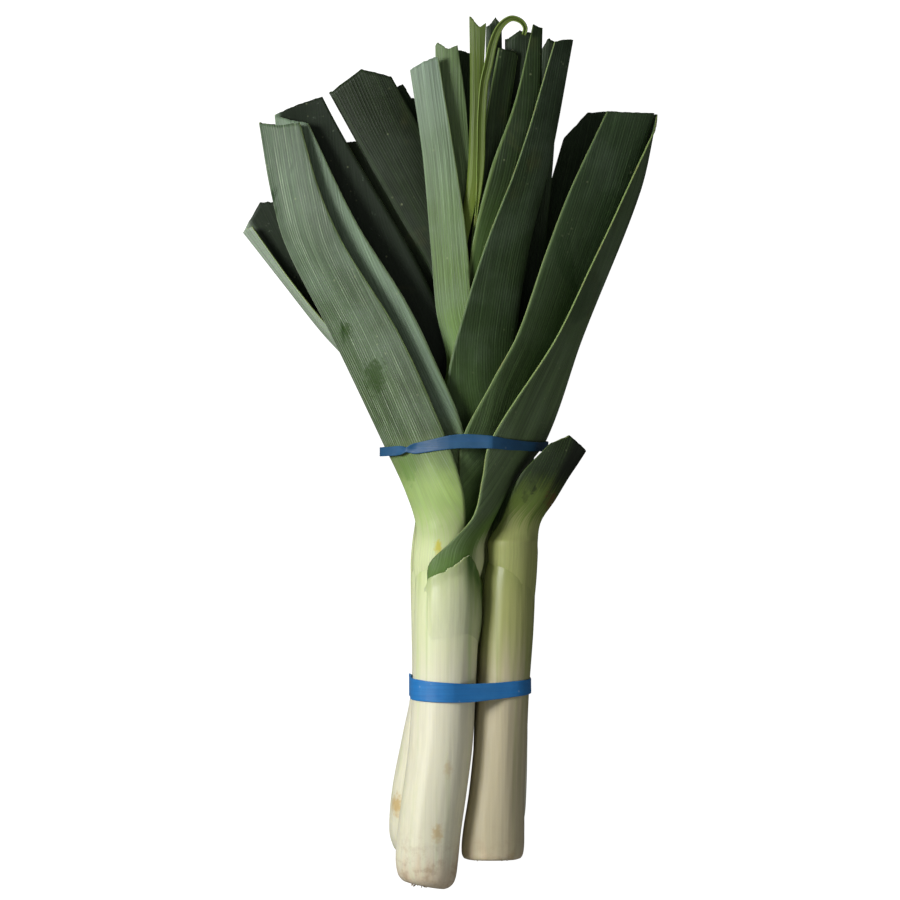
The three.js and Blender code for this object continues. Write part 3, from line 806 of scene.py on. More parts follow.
# ---- leaves ------------------------------------------------------------------------------
@dataclass
class Leaf:
    """A folded leaf.

    sheaths: rows of (y, radius, keel, near edge and far edge angles in degrees) round the neck.
    rows: (y, keel x, keel z, near x, near z, far x, far z), near being the half that faces up.
    cut: how far the trimmed top runs past the last row at the near edge, near middle, keel, far
    middle and far edge.
    """

    name: str
    slot: Slot
    finish: LeafFinish
    rows: Sequence[Row]
    cut: Sequence[float]
    neck: tuple[float, float] = NECK_FRONT
    sheaths: Sequence[Row] = ()
    turn: float = 16.0
    thick: float = 0.95
    wave: float = 0.5
    fade: float = 34.0
    across: int = 44
    along: int = 130

    def _all_rows(self) -> list[Row]:
        """Sheath rows turned into section rows, followed by the blade rows."""
        made = []
        for y, radius, *angles in self.sheaths:
            row = [y]
            for angle in angles:
                row += [
                    self.neck[0] + radius * math.cos(math.radians(angle)),
                    self.neck[1] + radius * math.sin(math.radians(angle)),
                ]
            made.append(row)
        return made + [list(row) for row in self.rows]

    def _turns(self, y: float) -> tuple[float, float]:
        """Curl of the near and far halves at a height, in radians."""
        blade = math.radians(self.turn)
        if not self.sheaths:
            return blade, blade
        _, _, keel, near, far = self.sheaths[-1]
        share = math.exp(-max(0.0, y - self.sheaths[-1][0]) / self.fade)
        wraps = (math.radians(abs(near - keel)), math.radians(abs(far - keel)))
        return tuple(blade + (wrap - blade) * share for wrap in wraps)

    def _section(self, row: Sequence[float], turns: tuple[float, float], side: float, s: float) -> Vector:
        """Point of a section, s running from -1 at the near edge to 1 at the far edge."""
        keel, near, far = Vector(row[1:3]), Vector(row[3:5]), Vector(row[5:7])
        half = 0.07

        def bare(value: float) -> Vector:
            """Point with a sharp keel."""
            if value < 0:
                return arc_point(keel, near, turns[0], side, -value)
            return arc_point(keel, far, turns[1], -side, value)

        if abs(s) >= half:
            return bare(s)
        t = (s + half) / (2 * half)
        return bare(-half) * (1 - t) ** 2 + keel * (2 * t * (1 - t)) + bare(half) * t**2

    def mesh(self) -> bpy.types.Object:
        """Build the blade as one sheet, with its surface distances and edge share."""
        rows = self._all_rows()
        start, end = rows[0][0], rows[-1][0]
        side = -1.0 if rows[-2][1] > rows[-2][3] else 1.0
        seed = sum(ord(letter) for letter in self.name)
        bm = bmesh.new()
        bmesh.ops.create_grid(bm, x_segments=self.across, y_segments=self.along, size=1.0)
        bm.loops.layers.uv.new("leaf_surface")
        edge = bm.verts.layers.float.new("edge")
        flat: dict[int, tuple[float, float]] = {}
        for vert in bm.verts:
            s, share = vert.co.x, (vert.co.y + 1) / 2
            y = start + (end - start) * share
            row, turns = guide(rows, y), self._turns(y)
            point = self._section(row, turns, side, s)
            width = (Vector(row[3:5]) if s < 0 else Vector(row[5:7])) - Vector(row[1:3])
            spot = (s + 1) * 2
            low = min(3, int(spot))
            shift = self.cut[low] + (self.cut[low + 1] - self.cut[low]) * (spot - low)
            ragged = 0.5 * noise.noise(Vector((s * 9, seed, 0)))
            ragged += 0.25 * noise.noise(Vector((s * 40, seed, 3)))
            high = y + (shift + ragged) * max(0.0, (share - 0.72) / 0.28) ** 2
            flat[vert.index] = (s * width.length * 0.1, high * 0.1)
            vert[edge] = abs(s)
            vert.co = placed(point.x, high, point.y)
        write_surface(bm, flat)
        bm.normal_update()
        for vert in bm.verts:
            place = vert.co / MM
            loose = vert[edge] ** 2 * ramp(place.y, -20, 60)
            swell = self.wave * loose * noise.noise(Vector((place.x * 0.02, place.y * 0.035, seed)))
            ripple = 0.09 * noise.noise(Vector((flat[vert.index][0] * 6, place.y * 0.01, seed)))
            ripple *= 0.2 + 0.8 * ramp(place.y, -50, 10)
            vert.co += vert.normal * (swell + ripple) * MM
        return finish_mesh(bm, self.name)

    def build(self) -> bpy.types.Object:
        """Make, thicken, dress and hand over the leaf."""
        piece = self.mesh()
        piece.data.materials.append(self.finish.material(f"{self.name}_blade"))
        piece.data.materials.append(self.finish.rim_material(f"{self.name}_rim"))
        add_wall(piece, self.thick)
        hand_over(piece, self.slot, self.name)
        return piece


@dataclass
class TornSheath:
    """Outer sheath of the front shank, torn off below the neck with a ragged edge."""

    shank: Shank
    finish: ShankFinish
    rim: LeafFinish
    first: float = -28.0
    last: float = 134.0
    low: float = -118.0
    thick: float = 0.7
    marks: Sequence[tuple[float, float]] = (
        (-28, -104), (-8, -88), (2, -80), (14, -72), (25, -67), (38, -61), (49, -57.4), (64, -60),
        (80, -63.8), (93, -66.4), (120, -70), (134, -76),
    )

    def top(self, angle: float) -> float:
        """Height of the ragged edge at an angle in degrees."""
        low = max((m for m in self.marks if m[0] <= angle), default=self.marks[0])
        high = min((m for m in self.marks if m[0] >= angle), default=self.marks[-1])
        share = 0.0 if high[0] == low[0] else (angle - low[0]) / (high[0] - low[0])
        ragged = 0.9 * noise.noise(Vector((angle * 0.11, 0, 7)))
        ragged += 0.6 * noise.noise(Vector((angle * 0.45, 0, 1)))
        return low[1] + (high[1] - low[1]) * share + ragged

    def build(self) -> bpy.types.Object:
        """Make, dress and hand over the torn sheath."""
        bm = bmesh.new()
        bmesh.ops.create_grid(bm, x_segments=120, y_segments=70, size=1.0)
        strip = bm.verts.layers.float.new("strip")
        for vert in bm.verts:
            across, share = (vert.co.x + 1) / 2, (vert.co.y + 1) / 2
            angle = self.first + (self.last - self.first) * across
            top = self.top(angle)
            y = self.low + (top - self.low) * share
            lift = ramp(share, 0.1, 0.75) * ramp(across, 0.0, 0.14) * ramp(across, 1.0, 0.86)
            curl = 0.6 * ramp(share, 0.86, 1.0) * ramp(across, 0.1, 0.4)
            skin = min(y, -69.0)
            point = self.shank.surface(math.radians(angle), skin, -0.8 + 2.4 * lift + curl)
            side = ramp(angle, 66, 46)
            wide, narrow = math.exp((y - top) / 22), math.exp((y - top) / 6)
            vert[strip] = min(1.0, 1.3 * side * wide) + (1 - side) * 0.3 * narrow
            vert.co = placed(point.x, y, point.z)
        bmesh.ops.recalc_face_normals(bm, faces=bm.faces[:])
        piece = finish_mesh(bm, "sheath_torn")
        piece.data.materials.append(self.finish.material("sheath_torn_skin"))
        piece.data.materials.append(self.rim.rim_material("sheath_torn_rim"))
        add_wall(piece, self.thick)
        hand_over(piece, Slot.SHANK, "shank_front_left")
        return piece


@dataclass
class CurledLeaf:
    """The youngest leaf, a narrow channel that bends over at its tip."""

    finish: LeafFinish
    path: Sequence[tuple[float, float, float]] = (
        (14.2, 126, 45.8), (15.2, 138, 47.2), (16.4, 150, 49), (17.2, 166, 51.0), (17.6, 186, 52.6),
        (19, 205, 53.6), (21.4, 216, 54.2),
        (24.4, 229, 54.8), (28.4, 237.6, 55.4), (34, 241.6, 56), (39.4, 240.2, 56),
        (42, 236.4, 55.4), (41.2, 232.6, 54.4),
    )
    width: float = 4.4
    thick: float = 0.8

    def build(self) -> bpy.types.Object:
        """Make, dress and hand over the curled leaf."""
        points = [Vector(p) for p in self.path]
        lengths = [0.0]
        for first, second in zip(points, points[1:]):
            lengths.append(lengths[-1] + (second - first).length)
        keyed = [(distance, *point) for distance, point in zip(lengths, points)]
        bm = bmesh.new()
        bmesh.ops.create_grid(bm, x_segments=14, y_segments=150, size=1.0)
        bm.loops.layers.uv.new("leaf_surface")
        edge = bm.verts.layers.float.new("edge")
        flat: dict[int, tuple[float, float]] = {}
        for vert in bm.verts:
            s, share = vert.co.x, (vert.co.y + 1) / 2
            distance = lengths[-1] * share
            here = Vector(guide(keyed, distance)[1:])
            ahead = Vector(guide(keyed, min(lengths[-1], distance + 1.5))[1:])
            behind = Vector(guide(keyed, max(0.0, distance - 1.5))[1:])
            heading = (ahead - behind).normalized()
            across = Vector((heading.y, -heading.x, 0)).normalized()
            reach = self.width * 0.5 * (0.24 + 0.76 * ramp(share, 0.0, 0.3))
            reach *= 1 - 0.55 * ramp(share, 0.72, 1.0)
            fold = 0.9 * (1 - s * s)
            point = here + across * (s * reach) - Vector((0, 0, 1)) * fold
            flat[vert.index] = (s * reach * 0.1, distance * 0.1)
            vert[edge] = abs(s)
            vert.co = placed(*point)
        write_surface(bm, flat)
        piece = finish_mesh(bm, "leaf_heart_curl")
        piece.data.materials.append(self.finish.material("leaf_heart_curl_blade"))
        piece.data.materials.append(self.finish.rim_material("leaf_heart_curl_rim"))
        add_wall(piece, self.thick)
        hand_over(piece, Slot.LEAF_HEART, "leaf_heart_curl")
        return piece


# ---- bands -------------------------------------------------------------------------------
@dataclass
class Band:
    """Rubber band pulled tight round the pieces that it crosses.

    lean: how far the band's middle climbs from left to right.
    twist: angle in degrees at which it turns over once, or None.
    """

    name: str
    y: float
    wide: Callable[[float], float]
    middle: Callable[[float], float]
    twist: Optional[float]
    finish: RubberFinish
    thick: float = 0.9
    clear: float = 0.08
    window: float = 3.0
    stations: int = 360
    ring: int = 20

    def _outline(self, pieces: Sequence[bpy.types.Object]) -> list[Vector]:
        """Convex outline, in millimetres, of the pieces within the band's width."""
        graph = bpy.context.evaluated_depsgraph_get()
        points = set()
        for piece in pieces:
            mesh = piece.evaluated_get(graph).to_mesh()
            for vert in mesh.vertices:
                spot = vert.co / MM - ORIGIN_SHIFT
                if abs(spot.y - self.y) < self.window:
                    points.add((round(spot.x, 2), round(spot.z, 2)))
            piece.evaluated_get(graph).to_mesh_clear()
        ordered = sorted(points)

        def chain(items: Sequence[tuple[float, float]]) -> list[tuple[float, float]]:
            """One side of the outline."""
            kept: list[tuple[float, float]] = []
            for p in items:
                while len(kept) > 1 and (
                    (kept[-1][0] - kept[-2][0]) * (p[1] - kept[-2][1])
                    - (kept[-1][1] - kept[-2][1]) * (p[0] - kept[-2][0])
                ) <= 0:
                    kept.pop()
                kept.append(p)
            return kept[:-1]

        return [Vector(p) for p in chain(ordered) + chain(ordered[::-1])]

    def _path(self, hull: Sequence[Vector]) -> list[tuple[Vector, Vector]]:
        """Evenly spaced points and outward normals round the outline, with rounded corners."""
        out = self.clear + self.thick / 2
        points: list[Vector] = []
        count = len(hull)
        for k in range(count):
            before, here, after = hull[k - 1], hull[k], hull[(k + 1) % count]
            first = math.atan2(-(here - before).x, (here - before).y)
            second = math.atan2(-(after - here).x, (after - here).y)
            swing = (second - first) % math.tau
            for step in range(5):
                angle = first + swing * step / 4
                points.append(here + Vector((math.cos(angle), math.sin(angle))) * out)
        total = [0.0]
        closed = points + [points[0]]
        for a, b in zip(closed, closed[1:]):
            total.append(total[-1] + (b - a).length)
        spaced, index = [], 0
        for k in range(self.stations):
            goal = total[-1] * k / self.stations
            while total[index + 1] < goal:
                index += 1
            gap = total[index + 1] - total[index] or 1.0
            spaced.append(closed[index].lerp(closed[index + 1], (goal - total[index]) / gap))
        made = []
        for k, point in enumerate(spaced):
            step = spaced[(k + 3) % self.stations] - spaced[k - 3]
            made.append((point, Vector((step.y, -step.x)).normalized()))
        return made

    def build(self, pieces: Sequence[bpy.types.Object]) -> bpy.types.Object:
        """Make, dress and hand over the band.

        Args:
            pieces: what it holds together.

        Returns:
            The band.
        """
        hull = self._outline(pieces)
        centre = sum(hull, Vector((0, 0))) / len(hull)
        path = self._path(hull)
        bm = bmesh.new()
        bmesh.ops.create_grid(bm, x_segments=self.stations, y_segments=self.ring, size=1.0)
        for vert in bm.verts:
            station = round((vert.co.x + 1) / 2 * self.stations) % self.stations
            turn = (vert.co.y + 1) * math.pi
            point, normal = path[station]
            angle = math.degrees(math.atan2(point.y - centre.y, point.x - centre.x)) % 360
            over = 0.0
            if self.twist is not None:
                away = (angle - self.twist + 180) % 360 - 180
                over = math.pi * ramp(away, -13, 13)
            narrow = abs(math.cos(over))
            half = self.wide(angle) / 2
            edge = half * (0.42 + 0.58 * narrow)
            deep = self.thick / 2 + (1 - narrow) * 0.5
            c, s = math.cos(turn), math.sin(turn)
            flat = math.copysign(abs(c) ** 0.45, c) * edge
            proud = math.copysign(abs(s) ** 0.6, s) * deep
            lip = 0.25 * (flat / max(edge, 0.1)) ** 4
            tilt = math.sin(2 * over) * 1.2
            wave = 0.25 * noise.noise(Vector((angle * 0.05, flat * 0.2, self.y)))
            out = proud + (1 - narrow) * 0.7 + lip + wave * 0.4 + max(0.0, tilt * flat / half)
            x = point.x + normal.x * out
            z = point.y + normal.y * out
            vert.co = placed(x, self.y + self.middle(angle) + flat + wave, z)
        bmesh.ops.remove_doubles(bm, verts=bm.verts[:], dist=1e-6)
        bmesh.ops.recalc_face_normals(bm, faces=bm.faces[:])
        piece = finish_mesh(bm, self.name)
        piece.data.materials.append(self.finish.material(f"{self.name}_rubber"))
        hand_over(piece, Slot.BAND, self.name)
        return piece


# ---- the bunch ---------------------------------------------------------------------------
LEFT_OUTER = LeafFinish(
    sheath=srgb(214, 224, 170), neck=srgb(160, 186, 108), blade=srgb(64, 82, 50), tip=srgb(80, 98, 75),
    vein=srgb(158, 172, 146), edge=srgb(120, 140, 92), vein_share=0.65, bloom=0.22, damp=0.85,
    turn_low=-0.06,
    turn_high=0.012, seed=1.3, margin=0.008,
    spots=(((-58.5, 66, 54), 0.0044, srgb(40, 66, 12), 0.8),
    ((-42, 42, 60), 0.0074, srgb(42, 68, 14), 0.8),
           ((-6.7, -53, 72), 0.0027, srgb(196, 184, 40), 0.8),
           ((-24, -8, 62), 0.007, srgb(96, 132, 56), 0.5)),
)
# The pale near half is partly painted light, and the far half inside the fold is painted in shade.
LEFT_INNER = LeafFinish(
    neck=srgb(140, 166, 96), blade=srgb(116, 138, 112), tip=srgb(114, 134, 110),
    vein=srgb(150, 168, 144),
    edge=srgb(118, 138, 92), bloom=0.25, turn_low=-0.05, turn_high=0.02, shade_inside=srgb(20, 28, 16),
    shade_inside_share=0.94, seed=2.1,
)
# The pale blade is partly a painted highlight on the near half, and the far half inside the fold is painted
# in shade.
LEFT_LOW = LeafFinish(
    blade=srgb(140, 156, 132), tip=srgb(146, 160, 142), vein=srgb(182, 192, 172), bloom=0.2,
    turn_high=0.02, shade_inside=srgb(24, 34, 20), shade_inside_share=0.92, seed=3.4,
)
# The blade green is partly the leaf's own colour and partly painted light, lightened where the leaf faces
# away from the light.
RIGHT_OUTER = LeafFinish(
    sheath=srgb(206, 212, 168), neck=srgb(96, 128, 58), blade=srgb(94, 114, 76), tip=srgb(74, 94, 62),
    vein=srgb(112, 128, 92), edge=srgb(104, 122, 80), damp=0.35, bloom=0.12, turn_low=-0.058,
    turn_high=-0.006,
    near_lift=0.034, margin=0.008, seed=4.2,
)
RIGHT = LeafFinish(
    sheath=srgb(126, 152, 84), neck=srgb(92, 118, 62), blade=srgb(84, 106, 64), tip=srgb(54, 72, 46),
    vein=srgb(100, 120, 82), edge=srgb(112, 134, 84), damp=0.35, bloom=0.1, turn_low=-0.07,
    turn_high=0.0,
    margin=0.01, seed=4.9,
)
DARK = LeafFinish(
    neck=srgb(80, 106, 58), blade=srgb(40, 56, 30), tip=srgb(42, 58, 34), vein=srgb(72, 92, 58),
    vein_share=0.35,
    edge=srgb(80, 98, 62), bloom=0.06, turn_low=-0.056, turn_high=0.0, seed=5.7,
)
# Dark green of the inner leaves, darkened further as painted shade for the leaves that lie in shadow.
DEEP_GREEN_AND_SHADE = LeafFinish(
    neck=srgb(70, 94, 50), blade=srgb(30, 42, 20), tip=srgb(32, 43, 23), vein=srgb(54, 70, 42),
    vein_share=0.4,
    edge=srgb(54, 66, 42), bloom=0.04, turn_low=-0.056, turn_high=0.0, seed=5.2,
)
BLUISH = LeafFinish(
    sheath=srgb(110, 136, 70), neck=srgb(66, 90, 44), blade=srgb(48, 66, 36), tip=srgb(44, 60, 40),
    vein=srgb(92, 114, 76), edge=srgb(104, 130, 84), turn_low=-0.05, turn_high=0.08, bloom=0.12,
    seed=6.4,
)
PALE = LeafFinish(
    sheath=srgb(128, 166, 66), neck=srgb(114, 154, 58), blade=srgb(96, 120, 68),
    tip=srgb(134, 152, 136),
    vein=srgb(156, 174, 148), bloom=0.22, turn_low=-0.05, turn_high=0.1, damp=0.4, seed=7.9,
)
HEART = LeafFinish(
    sheath=srgb(130, 150, 58), neck=srgb(110, 130, 46), blade=srgb(82, 100, 36), tip=srgb(78, 96, 38),
    vein=srgb(124, 142, 74), edge=srgb(134, 160, 86), rim=srgb(120, 146, 66), turn_low=0.05,
    turn_high=0.2,
    bloom=0.05, seed=8.8,
)
# Painted shade: the blade is darkened to stand in for the shadow beside its lit edge, and the wide pale
# margin is partly a painted highlight along that edge.
HEART_SHADED = LeafFinish(
    sheath=srgb(96, 124, 50), neck=srgb(64, 88, 36), blade=srgb(38, 54, 26), tip=srgb(40, 58, 30),
    vein=srgb(76, 98, 52), edge=srgb(122, 148, 84), turn_low=0.05, turn_high=0.16, bloom=0.05,
    margin=0.05,
    seed=9.3,
)
HEART_PALE = LeafFinish(
    sheath=srgb(104, 132, 54), neck=srgb(98, 124, 62), blade=srgb(98, 120, 76), tip=srgb(108, 128, 90),
    vein=srgb(134, 152, 112), edge=srgb(120, 142, 92), turn_low=0.05, turn_high=0.16, bloom=0.15,
    seed=9.9,
)
# Painted shade: most of the stump's surface is darkened towards a near-black inside colour for its shaded
# face.
STUMP = LeafFinish(
    sheath=srgb(160, 166, 102), neck=srgb(100, 120, 48), blade=srgb(40, 54, 28), tip=srgb(34, 46, 26),
    vein=srgb(88, 108, 60), edge=srgb(84, 104, 56), rim=srgb(120, 132, 78), turn_low=-0.05,
    turn_high=-0.014,
    shade_inside=srgb(18, 24, 12), shade_inside_share=0.9, shade_inside_from=-1.1, bloom=0.05, seed=10.6,
    # The brown spot is a real blemish; the two near-black spots are painted shade along the crease.
    spots=(((57, -29, 51), 0.0046, srgb(96, 54, 32), 0.8),
    ((46, -20, 57), 0.0026, srgb(26, 34, 14), 0.8),
           ((42, -26, 57), 0.0024, srgb(26, 34, 14), 0.8)),
)
TORN_RIM = LeafFinish(neck=srgb(196, 204, 150), rim=srgb(224, 226, 192))
OCHRE = srgb(204, 172, 104)

SHANKS = [
    Shank("shank_front_left", [
        (-242.4, -13.6, 56, 9, 9.4), (-241, -13.4, 56, 13, 13.2), (-237, -13.2, 56, 16, 16.2),
        (-228, -13, 56, 17.4, 17.5), (-212, -11.6, 56, 17.7, 17.8), (-190, -8.6, 56, 17.9, 17.8),
        (-165, -5.4, 56, 17.8, 17.8), (-134, -3.5, 56, 17.5, 17.6), (-100, -2.2, 56, 18, 17.8),
        (-80, -1.8, 55.6, 17.8, 17.8), (-68, -2, 55.2, 17.1, 17.1), (-58, -2.4, 55, 15.2, 15.2),
        (-44, -2.6, 55, 13.4, 13.2), (-34, -2.6, 55, 9, 9), (-30, -2.6, 55, 6, 6)],
        ShankFinish(spots=(((-7, -212, 73), 0.0034, OCHRE, 0.6), ((-1, -176, 73), 0.003, OCHRE, 0.35),
                           ((-5, -53.5, 71), 0.0024, srgb(206, 178, 60), 0.85)), seed=0.7),
        3, lean=-2.0),
    Shank("shank_rear_left", [
        (-226, -15.5, 19, 9, 9.4), (-224.6, -15.6, 19, 13.4, 13.4), (-221, -15.8, 19, 16.4, 16.2),
        (-212, -16.4, 19.1, 18, 17.3), (-190, -14.6, 19.2, 18, 17.3), (-160, -9, 19.2, 17.8, 17.3),
        (-134, -4.6, 19.1, 17.4, 17.3), (-100, -4.6, 19, 17, 17.1), (-70, -5.4, 18.8, 16.6, 16.5),
        (-58, -6, 18.4, 15.6, 15.4), (-46, -6, 18.3, 13, 12.8), (-30, -5, 18.6, 8, 8),
        (-26, -5, 18.6, 6, 6)],
        ShankFinish(spots=(((-29.5, -199, 28), 0.0042, OCHRE, 0.8),), seed=1.9), 5, lean=1.5),
    Shank("shank_front_right", [
        (-228.4, 23.4, 46.6, 12, 12), (-227.4, 23.4, 46.6, 15.6, 15), (-223, 23.6, 46.6, 17.2, 15.4),
        (-212, 24.2, 46.6, 17, 15.2), (-190, 26, 46.6, 15.4, 15), (-160, 28.2, 46.6, 14.6, 15),
        (-134, 29.6, 46.6, 14.3, 15), (-100, 31.6, 46.6, 14.6, 15), (-70, 33.2, 46.6, 14.1, 14.2),
        (-58, 34.6, 46.8, 12.6, 12.2), (-50, 35.6, 46.9, 10.8, 10), (-40, 38.6, 47, 8, 6.4),
        (-34, 41, 47.2, 5, 4), (-30, 43, 47.4, 3, 2.4)],
        # Painted shade: this shank's white, pale, green and root colours are darker copies of the shank
        # colours, for the shade it lies in beside the front-left shank.
        ShankFinish(white=srgb(198, 188, 156), pale=srgb(166, 170, 106), green=srgb(138, 150, 80),
                    root=srgb(216, 200, 170), seed=2.8), 8),
    Shank("shank_rear_right", [
        (-216, 27, 15.6, 8, 8.2), (-214.8, 27, 15.6, 11.6, 11.4), (-211, 27.2, 15.6, 13.9, 13.5),
        (-200, 27.6, 15.8, 15.2, 13.9), (-165, 28.6, 15.8, 15.2, 13.9), (-134, 28.8, 15.8, 15, 13.9),
        (-100, 28.2, 15.8, 14.6, 13.9), (-70, 27.6, 15.8, 14, 13.8), (-58, 27.2, 15.7, 13, 12.8),
        (-46, 27.2, 15.6, 11, 10.8), (-30, 28, 16, 7, 7), (-26, 28, 16, 5, 5)],
        ShankFinish(seed=4.4), 11),
]

